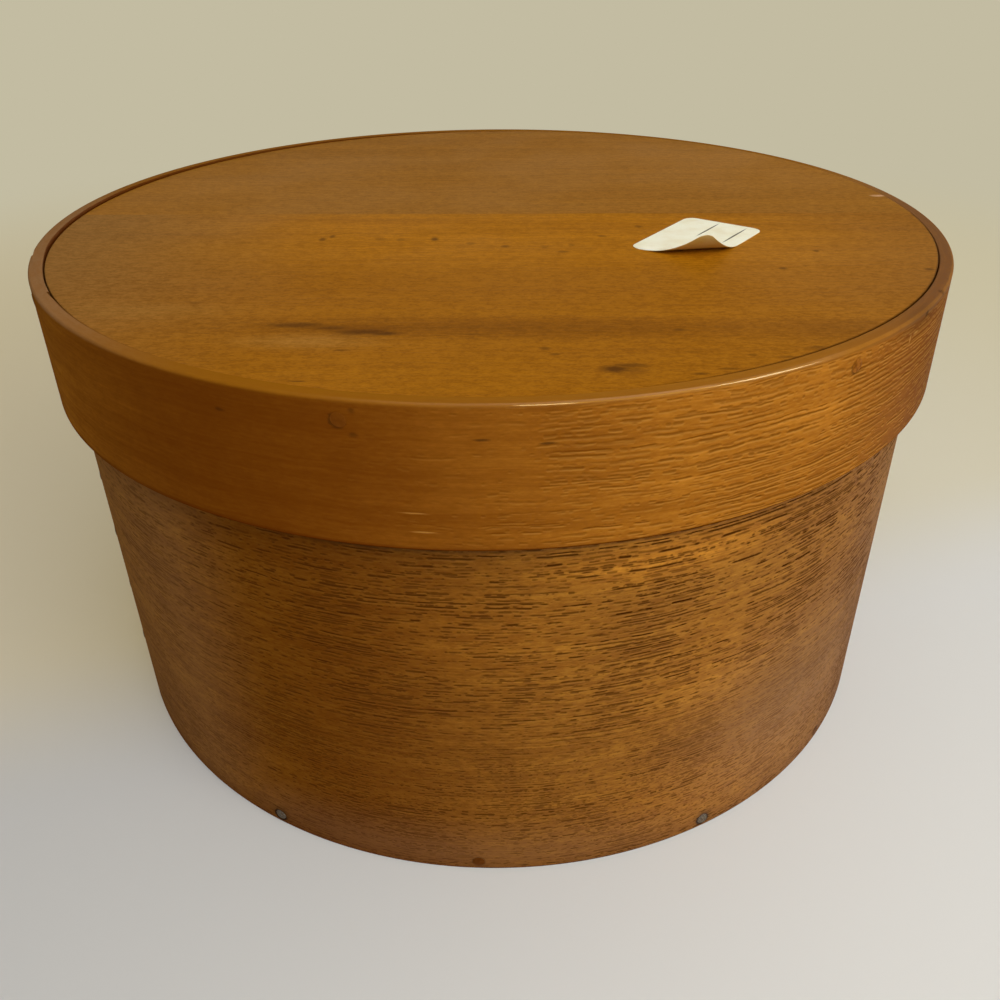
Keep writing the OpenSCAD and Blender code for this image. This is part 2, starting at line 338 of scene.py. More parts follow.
@dataclass(frozen=True)
class Strip:
    """A bent strip: its section, its lap and the wander of its edges."""

    inner: float
    outer: float
    low: float
    high: float
    top_round: float
    edge_round: float
    lap: Lap
    low_bulge: Waves = Waves()
    high_bulge: Waves = Waves()
    low_edge: Waves = Waves()
    high_edge: Waves = Waves()
    steps: int = 480
    face_steps: int = 26
    edge_steps: int = 24

    def edge_drop(self, radius: Array, outer_round: float) -> Array:
        """Drop of the rounded edges: b - sqrt(b^2 - x^2), x being the way past the start of a rounding.

        Args:
            radius: distances from the axis.
            outer_round: radius of the outer edge.

        Returns:
            Drops of the same shape.
        """
        past_outer = np.clip(radius - self.outer + outer_round, 0, outer_round)
        past_inner = np.clip(self.inner + self.edge_round - radius, 0, self.edge_round)
        outer_drop = outer_round - np.sqrt(outer_round**2 - past_outer**2)
        return outer_drop + self.edge_round - np.sqrt(self.edge_round**2 - past_inner**2)

    def section(self, inner: Array, outer: Array, low: Array, high: Array) -> tuple[Array, Array]:
        """The outline at every place: up the outer face, over the top, down the inner face and back below.

        The top and the foot are those of the whole band, so the layers of a lap share one rounded edge.
        Points lie closer near the ends of each stretch, spaced as (1 - cos a) / 2.

        Args:
            inner: inner radius at each place, as a column.
            outer: outer radius at each place, as a column.
            low: lowest height at each place, as a column.
            high: highest height at each place, as a column.

        Returns:
            Distances from the axis and heights, a row for each place.
        """
        face = (1 - np.cos(np.linspace(0, math.pi, self.face_steps)))[None, :] / 2
        across = (1 - np.cos(np.linspace(0, math.pi, self.edge_steps + 2)))[None, 1:-1] / 2
        over, under = outer + (inner - outer) * across, inner + (outer - inner) * across
        outer_foot, inner_foot = (low + self.edge_drop(side, self.edge_round) for side in (outer, inner))
        outer_top, inner_top = (high - self.edge_drop(side, self.top_round) for side in (outer, inner))
        radius = (outer + 0 * face, over, inner + 0 * face, under)
        height = (
            outer_foot + (outer_top - outer_foot) * face,
            high - self.edge_drop(over, self.top_round),
            inner_top + (inner_foot - inner_top) * face,
            low + self.edge_drop(under, self.edge_round),
        )
        return np.hstack(radius), np.hstack(height)

    def edge(self, radius: Array, height: Array, low: Array, high: Array) -> Array:
        """How much of an edge each point is: 1 at an arris, falling evenly to 0 at the edge's reach.

        Args:
            radius: distances from the axis.
            height: heights.
            low: lowest height at each place.
            high: highest height at each place.

        Returns:
            Values from 0 to 1.
        """
        corners = ((self.outer, high), (self.inner, high), (self.outer, low), (self.inner, low))
        away = [np.hypot(radius - side, height - level) for side, level in corners]
        return np.clip((EDGE_REACH - np.minimum.reduce(away)) / (EDGE_REACH - EDGE_FULL), 0, 1)

    def bulge(self, place: Array, height: Array) -> Array:
        """How far the band stands out of round, going evenly from its foot to its top.

        Args:
            place: angles from the front.
            height: heights.

        Returns:
            Distances in metres.
        """
        level = (height - self.low) / (self.high - self.low)
        return self.low_bulge.at(place) * (1 - level) + self.high_bulge.at(place) * level

    def build(self, name: str) -> bpy.types.Object:
        """Carries the section along the strip, from the lap's outer end round to its inner end.

        Args:
            name: name of the object.

        Returns:
            The band, with its flat length and height as UV in metres, and its edges as an attribute.
        """
        place, inner, outer = (line[:, None] for line in self.lap.faces(self.inner, self.outer, self.steps))
        low, high = self.low + self.low_edge.at(place), self.high + self.high_edge.at(place)
        radius, height = self.section(inner, outer, low, high)
        edge = self.edge(radius, height, low, high)
        points = round_points(radius + self.bulge(place, height), place, height)
        rows, columns = radius.shape
        closed = np.concatenate([points, points[:, :1]], axis=1)
        step = np.linalg.norm(np.diff(closed, axis=1), axis=2)
        across = height[:, :1] + np.hstack([np.zeros((rows, 1)), np.cumsum(step, axis=1)])
        along = np.broadcast_to(place * self.outer, across.shape)
        quads = grid_quads(rows, columns, wrap_columns=True)
        flat = np.stack([along, across], axis=-1).reshape(-1, 2)
        uv = flat[grid_quads(rows, columns + 1)]
        caps = [ladder_quads(0, columns)[:, ::-1], ladder_quads((rows - 1) * columns, columns)]
        ends = np.stack([radius, height], axis=-1).reshape(-1, 2)
        return mesh_object(
            name,
            points.reshape(-1, 3),
            np.concatenate([quads, *caps]),
            uv=np.concatenate([uv, *(ends[cap] for cap in caps)]),
            layers={"edge": edge},
        )


@dataclass(frozen=True)
class BoardWarp:
    """The set of a board's top: it leans by `lean` over the radius towards a place and lies `drop` lower."""

    lean: float = 0.0
    place: float = 0.0
    drop: float = 0.0
    radius: float = 1.0

    def at(self, x: Array, y: Array) -> Array:
        """Height that the top gains at a point: lean * (point . direction) / radius - drop.

        Args:
            x: distances to the right.
            y: distances to the back.

        Returns:
            Heights in metres.
        """
        towards = x * math.sin(self.place) - y * math.cos(self.place)
        return self.lean * towards / self.radius - self.drop


@dataclass(frozen=True)
class RoundBoard:
    """A board cut to a disc, or to a half disc from a straight joint."""

    size: RoundNode
    edge_round: float
    start: float = 0.0
    sweep: float = TURN
    warp: BoardWarp = BoardWarp()
    bulge: Waves = Waves()
    rings: int = 40
    edge_steps: int = 7
    steps: int = 240

    def profile(self) -> tuple[Array, Array]:
        """The board's section: from the axis along the underside, round the edge, back along the top.

        Returns:
            Distances from the axis and heights, the same number on both sides of the middle.
        """
        radius, low, high, bend = self.size.radius, self.size.low, self.size.high, self.edge_round
        flat = np.append(np.linspace(0, radius - 2 * bend, self.rings), radius - bend)
        turn = np.radians(np.linspace(-90, 0, self.edge_steps))
        out = np.concatenate([flat, radius - bend + bend * np.cos(turn[1:])])
        rise = np.concatenate([np.full(flat.size, low), low + bend + bend * np.sin(turn[1:])])
        return np.concatenate([out, out[::-1]]), np.concatenate([rise, low + high - rise[::-1]])

    def build(self, name: str) -> bpy.types.Object:
        """Turns the section about the axis and closes the joint's face.

        Args:
            name: name of the object.

        Returns:
            The board, with the softened edge as an attribute.
        """
        out, rise = self.profile()
        whole = self.sweep >= TURN
        place = np.linspace(self.start, self.start + self.sweep, self.steps, endpoint=not whole)
        stretch = 1 + self.bulge.at(place)[:, None] / self.size.radius
        points = round_points(out[None, :] * stretch, place[:, None], rise[None, :])
        level = (points[..., 2] - self.size.low) / (self.size.high - self.size.low)
        points[..., 2] += level * self.warp.at(points[..., 0], points[..., 1])
        rows, columns = points.shape[:2]
        faces = [grid_quads(rows, columns, wrap_rows=whole)]
        if not whole:
            faces += [ladder_quads(0, columns)[:, ::-1], ladder_quads((rows - 1) * columns, columns)]
        edge = np.clip((out - self.size.radius) / (2 * self.edge_round) + 1, 0, 1)
        return mesh_object(
            name, points.reshape(-1, 3), np.concatenate(faces), layers={"edge": np.tile(edge, rows)}
        )


@dataclass(frozen=True)
class Pin:
    """A peg, a nail or a tack: a circle of changing size carried inwards along a path.

    The path runs in from the top of the head. Where `bend_depth` is set, it turns down there round a
    quarter circle, as the point of a clinched tack does.
    """

    head_radius: float
    head_height: float
    crown: float
    shank_radius: float
    length: float
    tip: float
    tip_radius: float
    bend_depth: float = math.inf
    bend_radius: float = 1 * MM
    unevenness: float = 0.0
    head_taper: float = 0.96
    crown_steps: int = 8
    shank_steps: int = 20
    facets: int = 28

    def stations(self) -> tuple[Array, Array]:
        """Depth below the top of the head and radius of every circle, the crown being a quarter ellipse.

        Returns:
            Depths and radii, starting and ending at a radius of 0.
        """
        turn = np.radians(np.linspace(0, 90, self.crown_steps))
        depth = [self.crown * (1 - np.cos(turn)), [self.head_height, self.head_height]]
        radius = [self.head_radius * np.sin(turn), [self.head_radius * self.head_taper, self.shank_radius]]
        shank = np.linspace(self.head_height, self.length - self.tip, self.shank_steps)[1:]
        depth += [shank, [self.length, self.length]]
        radius += [np.full(shank.size, self.shank_radius), [self.tip_radius, 0.0]]
        return np.concatenate(depth), np.concatenate(radius)

    def build(self, name: str, seats: Array, places: Array, heights: Array, seed: int) -> bpy.types.Object:
        """Sets copies of the pin round the box, each a little uneven in its own way.

        The head's radius wavers as 1 + u cos(2a - p) + u cos(3a - q) / 2 and its top leans by u.

        Args:
            name: name of the object.
            seats: distance from the axis of the face that each head sits on.
            places: place of each pin.
            heights: height of each pin.
            seed: seed of the unevenness.

        Returns:
            All the pins as one object.
        """
        depth, radius = self.stations()
        turned = np.clip((depth - self.bend_depth) / self.bend_radius, 0, math.pi / 2)
        past = np.maximum(depth - self.bend_depth - self.bend_radius * math.pi / 2, 0)
        straight = np.minimum(depth, self.bend_depth)
        reach = seats[:, None] + self.head_height - straight - self.bend_radius * np.sin(turned)
        fall = -self.bend_radius * (1 - np.cos(turned)) - past
        angle = np.linspace(0, TURN, self.facets, endpoint=False)[None, None, :]
        drawn = np.random.default_rng(seed).uniform(0, TURN, (3, len(places), 1, 1))
        at_head = (depth <= self.head_height)[None, :, None]
        waver = np.cos(2 * angle - drawn[0]) + np.cos(3 * angle - drawn[1]) / 2
        wide = radius[None, :, None] * (1 + self.unevenness * waver * at_head)
        lean = self.unevenness * wide * np.cos(angle - drawn[2]) * at_head
        side = wide * np.sin(angle)
        lift = wide * np.cos(angle)
        out = reach[:, :, None] + lean + lift * np.sin(turned)[None, :, None]
        rise = fall[None, :, None] + lift * np.cos(turned)[None, :, None]
        place, base = places[:, None, None], heights[:, None, None]
        points = np.stack(
            [
                out * np.sin(place) + side * np.cos(place),
                -out * np.cos(place) + side * np.sin(place),
                base + rise,
            ],
            axis=-1,
        )
        rows = depth.size
        one = grid_quads(rows, self.facets, wrap_columns=True)
        starts = np.arange(len(places))[:, None, None] * rows * self.facets
        return mesh_object(name, points.reshape(-1, 3), (starts + one).reshape(-1, 4))


@dataclass(frozen=True)
class PaperLabel:
    """A paper label with round corners. One corner has come loose and curls up."""

    length: float = 45 * MM
    width: float = 30 * MM
    thickness: float = 0.2 * MM
    corner: float = 4 * MM
    middle: Pair = (73 * MM, -35.8 * MM)
    turn: float = math.radians(53)
    lift: float = 17.5 * MM
    lift_turn: float = math.radians(46)
    curl: float = 14.5 * MM
    rows: int = 56
    columns: int = 80

    def curled(self, x: Array, y: Array, above: float) -> Array:
        """Curls the flat sheet: past the lift line the paper runs up an arc of the curl's radius.

        With s the distance past the line, the point moves along by (curl - above) sin(s / curl) and
        rises to curl - (curl - above) cos(s / curl), so the paper keeps its length.

        Args:
            x: places along the label's length.
            y: places across it.
            above: height of this side of the paper above the lid.

        Returns:
            Points before the label is turned and set down.
        """
        out = np.array([-math.sin(self.lift_turn), -math.cos(self.lift_turn)])
        past = (x + self.length / 2) * out[0] + (y + self.width / 2) * out[1] + self.lift
        bend = np.maximum(past, 0) / self.curl
        shift = np.where(past > 0, (self.curl - above) * np.sin(bend) - past, 0)
        rise = self.curl - (self.curl - above) * np.cos(bend)
        return np.stack([x + shift * out[0], y + shift * out[1], rise], axis=-1)

    def build(self, name: str, warp: BoardWarp, board_top: float) -> bpy.types.Object:
        """Lays the sheet out in rows across its width, each as long as the round corners leave it.

        Args:
            name: name of the object.
            warp: set of the board that the label lies on.
            board_top: height of that board's top.

        Returns:
            The label, with its flat place as UV in metres and its underside as an attribute.
        """
        share = np.sin(np.linspace(-math.pi / 2, math.pi / 2, self.rows))
        y = (share * self.width / 2)[:, None]
        into = np.maximum(np.abs(y) - (self.width / 2 - self.corner), 0)
        inset = self.corner - np.sqrt(self.corner**2 - into**2)
        x = np.linspace(-1, 1, self.columns)[None, :] * (self.length / 2 - inset)
        y = np.broadcast_to(y, x.shape)
        sides = [self.curled(x, y, self.thickness), self.curled(x, y, 0.0)[:, ::-1]]
        points = np.concatenate(sides, axis=1)
        flat = np.stack([x, y], axis=-1)
        flat = np.concatenate([flat, flat[:, ::-1]], axis=1)
        cosine, sine = math.cos(self.turn), math.sin(self.turn)
        turn = np.array([[cosine, -sine], [sine, cosine]])
        points[..., :2] = points[..., :2] @ turn.T + np.array(self.middle)
        points[..., 2] += board_top + warp.at(points[..., 0], points[..., 1])
        rows, columns = points.shape[:2]
        faces = [
            grid_quads(rows, columns, wrap_columns=True),
            ladder_quads(0, columns)[:, ::-1],
            ladder_quads((rows - 1) * columns, columns),
        ]
        quads = np.concatenate(faces)
        under = np.broadcast_to(np.arange(columns) >= self.columns, (rows, columns)).astype(float)
        return mesh_object(
            name,
            points.reshape(-1, 3),
            quads,
            uv=flat.reshape(-1, 2)[quads],
            layers={"underside": under.ravel()},
            sharp=60,
        )


# Shader graphs


class Wire:
    """What a node puts out. Wires that carry numbers can be added, taken away, multiplied and divided."""

    def __init__(self, graph: "Graph", socket: Socket) -> None:
        """Keeps the socket and the graph that it belongs to."""
        self.graph = graph
        self.socket = socket

    def __add__(self, other: "Value") -> "Wire":
        """The sum of two numbers."""
        return self.graph.math("ADD", self, other)

    def __sub__(self, other: "Value") -> "Wire":
        """This number less another one."""
        return self.graph.math("SUBTRACT", self, other)

    def __rsub__(self, other: "Value") -> "Wire":
        """Another number less this one."""
        return self.graph.math("SUBTRACT", other, self)

    def __mul__(self, other: "Value") -> "Wire":
        """The product of two numbers."""
        return self.graph.math("MULTIPLY", self, other)

    def __truediv__(self, other: "Value") -> "Wire":
        """This number divided by another one."""
        return self.graph.math("DIVIDE", self, other)

    __radd__ = __add__
    __rmul__ = __mul__


Value = Wire | Socket | float | tuple


class Graph:
    """Adds nodes to a material, a world or a node group."""

    def __init__(self, tree: bpy.types.NodeTree) -> None:
        """Keeps the tree that nodes are added to."""
        self.tree = tree

    def node(self, kind: str, **settings: object) -> bpy.types.Node:
        """Adds a node.

        Args:
            kind: Blender's name of the node, without its ShaderNode prefix.
            settings: properties of the node.

        Returns:
            The new node.
        """
        made = self.tree.nodes.new(kind if kind.startswith("Node") else "ShaderNode" + kind)
        for name, value in settings.items():
            setattr(made, name, value)
        return made

    def feed(self, socket: Socket, value: Value) -> None:
        """Links a socket to another one, or sets its own value.

        Args:
            socket: the input.
            value: the output that feeds it, or its value.
        """
        value = value.socket if isinstance(value, Wire) else value
        if isinstance(value, bpy.types.NodeSocket):
            self.tree.links.new(value, socket)
        else:
            socket.default_value = value

    def feed_all(self, node: bpy.types.Node, **values: Value) -> None:
        """Feeds a node's inputs by name, with _ in place of a space."""
        for key, value in values.items():
            self.feed(node.inputs[key.replace("_", " ")], value)

    def result(self, kind: str, *values: Value, output: int | str = 0, **settings: object) -> Wire:
        """Adds a node and feeds its first inputs.

        Args:
            kind: Blender's name of the node, without its ShaderNode prefix.
            values: its first inputs, in order.
            output: the output that is wanted.
            settings: properties of the node.

        Returns:
            That output.
        """
        made = self.node(kind, **settings)
        for socket, value in zip(made.inputs, values):
            self.feed(socket, value)
        return Wire(self, made.outputs[output])

    def math(self, operation: str, *values: Value) -> Wire:
        """Works out a number from others, by Blender's name of the operation."""
        return self.result("Math", *values, operation=operation)

    def join(self, x: Value, y: Value, z: Value = 0.0) -> Wire:
        """Makes a vector of three numbers."""
        return self.result("CombineXYZ", x, y, z)

    def split(self, vector: Value) -> tuple[Wire, ...]:
        """Takes a vector apart into its three numbers."""
        made = self.node("SeparateXYZ")
        self.feed(made.inputs[0], vector)
        return tuple(Wire(self, socket) for socket in made.outputs)

    def cells(self, vector: Value, *sizes: Value) -> Wire:
        """Counts a pattern's coordinates in cells of three sizes."""
        return self.result("VectorMath", vector, self.join(*sizes), operation="DIVIDE")

    def length(self, vector: Value) -> Wire:
        """The length of a vector."""
        return self.result("VectorMath", vector, output="Value", operation="LENGTH")

    def place(self, vector: Value, scale: tuple, shift: tuple = (0, 0, 0), turn: float = 0.0) -> Wire:
        """Scales, turns about Z and then shifts a pattern's coordinates.

        Args:
            vector: coordinates.
            scale: scale along each axis.
            shift: shift after the scale and the turn.
            turn: turn about Z in radians.

        Returns:
            The new coordinates.
        """
        made = self.node("Mapping")
        self.feed_all(made, Vector=vector, Scale=scale, Location=shift, Rotation=(0, 0, turn))
        return Wire(self, made.outputs[0])

    def span(
        self, value: Value, low: Value, high: Value, to_low: Value = 0.0, to_high: Value = 1.0
    ) -> Wire:
        """Eases a value from one range to another, and holds it past both ends.

        Args:
            value: number to map.
            low: start of its range.
            high: end of its range.
            to_low: result at the start.
            to_high: result at the end.

        Returns:
            The result.
        """
        return self.result("MapRange", value, low, high, to_low, to_high, interpolation_type="SMOOTHSTEP")

    def blend(self, mask: Value, first: Value, second: Value, mode: str = "MIX") -> Wire:
        """Blends two colours by a mask.

        Args:
            mask: 0 keeps the first colour, 1 gives the second.
            first: first colour.
            second: second colour.
            mode: Blender's name of the blend.

        Returns:
            The colour.
        """
        made = self.node("Mix", data_type="RGBA", blend_type=mode)
        # The colours' sockets come after those for numbers and vectors, which have the same names
        for number, value in ((0, mask), (6, first), (7, second)):
            self.feed(made.inputs[number], value)
        return Wire(self, made.outputs[2])

    def layered(self, colour: Value, *layers: tuple[Value, Value]) -> Value:
        """Lays colours over a first one in turn.

        Args:
            colour: the ground.
            layers: masks with the colour that shows where the mask is 1.

        Returns:
            The colour of all layers.
        """
        for mask, over in layers:
            colour = self.blend(mask, colour, over)
        return colour

    def noise(self, vector: Value, scale: float = 1.0, detail: float = 2.0, roughness: float = 0.5) -> Wire:
        """Adds a noise texture and returns its value, about 0.5 in the mean."""
        made = self.node("TexNoise")
        self.feed_all(made, Vector=vector, Scale=scale, Detail=detail, Roughness=roughness)
        return Wire(self, made.outputs[0])

    def effect(self, name: str, **values: Value) -> dict[str, Wire]:
        """Places a shared node group.

        Args:
            name: name of the group.
            values: its inputs by name, with _ in place of a space.

        Returns:
            Its outputs by name.
        """
        made = self.node("Group", node_tree=bpy.data.node_groups[name])
        self.feed_all(made, **values)
        return {socket.name: Wire(self, socket) for socket in made.outputs}

    def attribute(self, name: str) -> Wire:
        """Reads a number that the mesh keeps at its points."""
        return self.result("Attribute", output="Fac", attribute_name=name)

    def flat(self) -> Wire:
        """The piece's flat coordinates in millimetres, from its UV map."""
        return self.place(self.result("UVMap", uv_map="flat"), (1 / MM, 1 / MM, 1))

    def solid(self, turn: float = 0.0) -> Wire:
        """The piece's own coordinates in millimetres, turned about Z."""
        return self.place(self.result("TexCoord", output="Object"), (1 / MM,) * 3, turn=turn)


def start_group(
    name: str, inputs: dict[str, float | None], outputs: Sequence[str]
) -> tuple[Graph, dict[str, Wire], dict[str, Socket]]:
    """Starts a shared node group.

    Args:
        name: name of the group.
        inputs: default of each input by name, or None for a vector.
        outputs: names of the outputs, all numbers.

    Returns:
        The graph, the group's inputs by name, and its outputs by name.
    """
    tree = bpy.data.node_groups.new(name, "ShaderNodeTree")
    for key, default in inputs.items():
        kind = "NodeSocketVector" if default is None else "NodeSocketFloat"
        socket = tree.interface.new_socket(key, in_out="INPUT", socket_type=kind)
        if default is not None:
            socket.default_value = default
    for key in outputs:
        tree.interface.new_socket(key, in_out="OUTPUT", socket_type="NodeSocketFloat")
    graph = Graph(tree)
    entry, leave = graph.node("NodeGroupInput"), graph.node("NodeGroupOutput")
    given = {socket.name: Wire(graph, socket) for socket in entry.outputs if socket.name}
    wanted = {socket.name: socket for socket in leave.inputs if socket.name}
    return graph, given, wanted


def make_oak_pores() -> None:
    """Oak's open pores: dark dashes in rows along the grain.

    A row is the whole part of across / step. Random numbers of the row set how high in it the dashes lie and
    how wide they are, and noise along the row sets where a dash is. Shorter dashes lie between the rows.
    """
    graph, given, wanted = start_group(
        "oak_pores",
        {
            "Vector": None,
            "Row Step": 1.3,
            "Dash Length": 9.0,
            "Dash Width": 0.5,
            "Fullness": 0.6,
            "Waver": 3.0,
        },
        ["Pores"],
    )
    along, across, _ = graph.split(given["Vector"])
    # The rows wander slowly and a little quickly: cells per millimetre, share of the waver
    for scale, share in (((1 / 38, 1 / 14, 1), 1.0), ((1 / 6, 1 / 3, 1), 0.3)):
        across = graph.noise(graph.place(given["Vector"], scale)) * (given["Waver"] * share) + across
    # The noise that makes a dash falls from 0.78 in an empty row to 0.23 in a full one
    scarcity = given["Fullness"] * -0.55 + 0.78
    row_apart = 7.31
    layers = []
    # Long dashes, then short and fainter ones: shift in rows, share of the length, strength
    for shift, shrink, strength in ((0.0, 1.0, 1.0), (37.4, 0.5, 0.75)):
        level = across / given["Row Step"] + shift
        row = graph.math("FLOOR", level)
        drawn = graph.node("TexWhiteNoise", noise_dimensions="1D")
        graph.feed_all(drawn, W=row)
        drawn_middle, drawn_width, drawn_depth = graph.split(drawn.outputs["Color"])
        # The middle of the dashes lies between 0.2 and 0.8 of the row
        off = graph.math("ABSOLUTE", level - row - (drawn_middle * 0.6 + 0.2))
        run = graph.join(along / (given["Dash Length"] * shrink), row * row_apart)
        there = graph.span(graph.noise(run) - scarcity, -0.03, 0.1)
        # Half a dash is 0.35 to 0.75 of the width, and a fifth of that at its ends
        half = given["Dash Width"] * (drawn_width * 0.4 + 0.35) * (there * 0.8 + 0.2)
        shape = graph.span(off * given["Row Step"] / half, 0.3, 1.2, 1.0, 0.0) * there
        layers.append(shape * (drawn_depth * (0.5 * strength) + 0.5 * strength))
    graph.feed(wanted["Pores"], graph.math("MAXIMUM", *layers))


def make_wood_tone() -> None:
    """Tone of a varnished surface: long streaks along the grain, wavering fine lines, soft clouds and mottle.

    Each is noise in cells of its own length along the grain and width across it. The mottle is the mean of
    small cells and of cells three times as large.
    """
    graph, given, wanted = start_group(
        "wood_tone",
        {
            "Vector": None,
            "Streak Length": 120.0,
            "Streak Width": 5.0,
            "Line Length": 45.0,
            "Line Width": 0.7,
            "Waver": 0.0,
            "Cloud Size": 45.0,
            "Mottle Length": 2.4,
            "Mottle Width": 0.8,
        },
        ["Streak", "Line", "Cloud", "Mottle"],
    )
    along, across, deep = graph.split(given["Vector"])
    drift = graph.noise(graph.place(given["Vector"], (1 / 24, 1 / 11, 1 / 24)), detail=1.0)
    wavered = graph.join(along, (drift - NOISE_MEAN) * given["Waver"] + across, deep)
    for name, detail in (("Streak", 4.0), ("Line", 2.0)):
        width = given[f"{name} Width"]
        cell = graph.cells(wavered, given[f"{name} Length"], width, width)
        pattern = graph.noise(cell, detail=detail, roughness=0.55)
        graph.feed(wanted[name], graph.span(pattern, *PATTERN_RANGE))
    size = given["Cloud Size"]
    cloud = graph.noise(graph.cells(given["Vector"], size, size, size), detail=3.0)
    graph.feed(wanted["Cloud"], graph.span(cloud, *PATTERN_RANGE))
    speck_range = (0.36, 0.64)
    specks = []
    for larger in (1.0, 3.0):
        width = given["Mottle Width"] * larger
        cell = graph.cells(given["Vector"], given["Mottle Length"] * larger, width, width)
        specks.append(graph.span(graph.noise(cell, detail=3.0, roughness=0.6), *speck_range))
    graph.feed(wanted["Mottle"], (specks[0] + specks[1]) * 0.5)


def make_edge_wear() -> None:
    """Wear of an edge: the edge value, broken up by noise so that it is rubbed unevenly."""
    graph, given, wanted = start_group(
        "edge_wear", {"Vector": None, "Edge": 0.0, "Amount": 0.5, "Grain Size": 6.0}, ["Wear"]
    )
    size = given["Grain Size"]
    rub = graph.noise(graph.cells(given["Vector"], size, size, size), detail=4.0, roughness=0.65)
    least, gain, worn_range = 0.2, 1.2, (0.35, 0.95)
    uneven = given["Edge"] * (rub * gain + least)
    graph.feed(wanted["Wear"], graph.span(uneven, *worn_range) * given["Amount"])


def make_spot() -> None:
    """One soft spot: 1 inside a ragged ellipse round a point, falling to 0 at its edge."""
    graph, given, wanted = start_group(
        "spot",
        {
            "Vector": None,
            "Along": 0.0,
            "Across": 0.0,
            "Half Length": 5.0,
            "Half Width": 1.0,
            "Softness": 0.5,
            "Raggedness": 0.5,
        },
        ["Mask"],
    )
    along, across, _ = graph.split(given["Vector"])
    cells_per_mm, rim = (0.5, 1.4, 1), 1.05
    ragged = graph.noise(graph.place(given["Vector"], cells_per_mm), detail=3.0)
    far = graph.join(
        (along - given["Along"]) / given["Half Length"], (across - given["Across"]) / given["Half Width"]
    )
    reach = (ragged - NOISE_MEAN) * given["Raggedness"] + graph.length(far)
    graph.feed(wanted["Mask"], graph.span(reach, 1.0 - given["Softness"], rim, 1.0, 0.0))


@dataclass(frozen=True)
class Spot:
    """A mark on a surface, in the millimetres of its pattern."""

    along: float
    across: float
    half_length: float
    half_width: float
    strength: float = 1.0
    softness: float = 0.8
    raggedness: float = 0.5


Spots = tuple[Spot, ...]


def spots(*rows: tuple[float, ...]) -> Spots:
    """Spots from rows of numbers, in the order of a spot's fields."""
    return tuple(Spot(*row) for row in rows)


def spots_mask(graph: Graph, vector: Wire, marks: Spots) -> Value:
    """Adds a group for every spot and keeps the strongest.

    Args:
        graph: graph to add to.
        vector: coordinates of the pattern in millimetres.
        marks: the spots.

    Returns:
        The mask of all spots, or 0 where there are none.
    """
    mask: Value = 0.0
    for spot in marks:
        one = graph.effect(
            "spot",
            Vector=vector,
            Along=spot.along,
            Across=spot.across,
            Half_Length=spot.half_length,
            Half_Width=spot.half_width,
            Softness=spot.softness,
            Raggedness=spot.raggedness,
        )["Mask"]
        mask = graph.math("MAXIMUM", mask, one * spot.strength)
    return mask


@dataclass(frozen=True)
class Finish:
    """What every finish has: its name, its slot, its gloss and its relief.

    `uneven` is how much its pattern changes the roughness, and `depth` the relief's depth in millimetres.
    """

    name: str
    slot: Slot
    roughness: float = 0.45
    gloss: float = 0.015
    coat_roughness: float = 0.07
    uneven: float = 0.3
    depth: float = 0.12

    def material(self) -> bpy.types.Material:
        """Makes the material with its shader and paints it.

        Returns:
            The material.
        """
        material = bpy.data.materials.new(self.name)
        material.use_nodes = True
        shader = material.node_tree.nodes["Principled BSDF"]
        shader.inputs["Roughness"].default_value = self.roughness
        shader.inputs["Specular IOR Level"].default_value = self.gloss
        shader.inputs["Coat Roughness"].default_value = self.coat_roughness
        self.paint(Graph(material.node_tree), shader)
        return material

    def paint(self, graph: Graph, shader: bpy.types.Node) -> None:
        """Adds the pattern that feeds the shader. Each finish has its own."""
        raise NotImplementedError

    def bump(self, graph: Graph, shader: bpy.types.Node, height: Wire) -> None:
        """Sends a height to the shader's normal.

        Args:
            graph: graph to add to.
            shader: the shader.
            height: the height, in units of `depth`.
        """
        made = graph.node("Bump")
        graph.feed_all(made, Strength=1.0, Distance=self.depth * MM, Height=height)
        graph.feed_all(shader, Normal=made.outputs[0])


@dataclass(frozen=True)
class OakPlace:
    """Where a point of a bent band lies.

    `flat` is its place on the flat strip and `marked` the same within half a turn of the front. `past_top`
    and `past_inside` are the ways over the strip from the rim's outer and inner edge, in millimetres.
    `facing` is the cosine of its place round the box. The others are masks of the right side, the front, the
    bare inside and the rim.
    """

    flat: Wire
    marked: Wire
    past_top: Wire
    past_inside: Wire
    facing: Wire
    rightness: Wire
    frontness: Wire
    bare: Wire
    on_rim: Wire


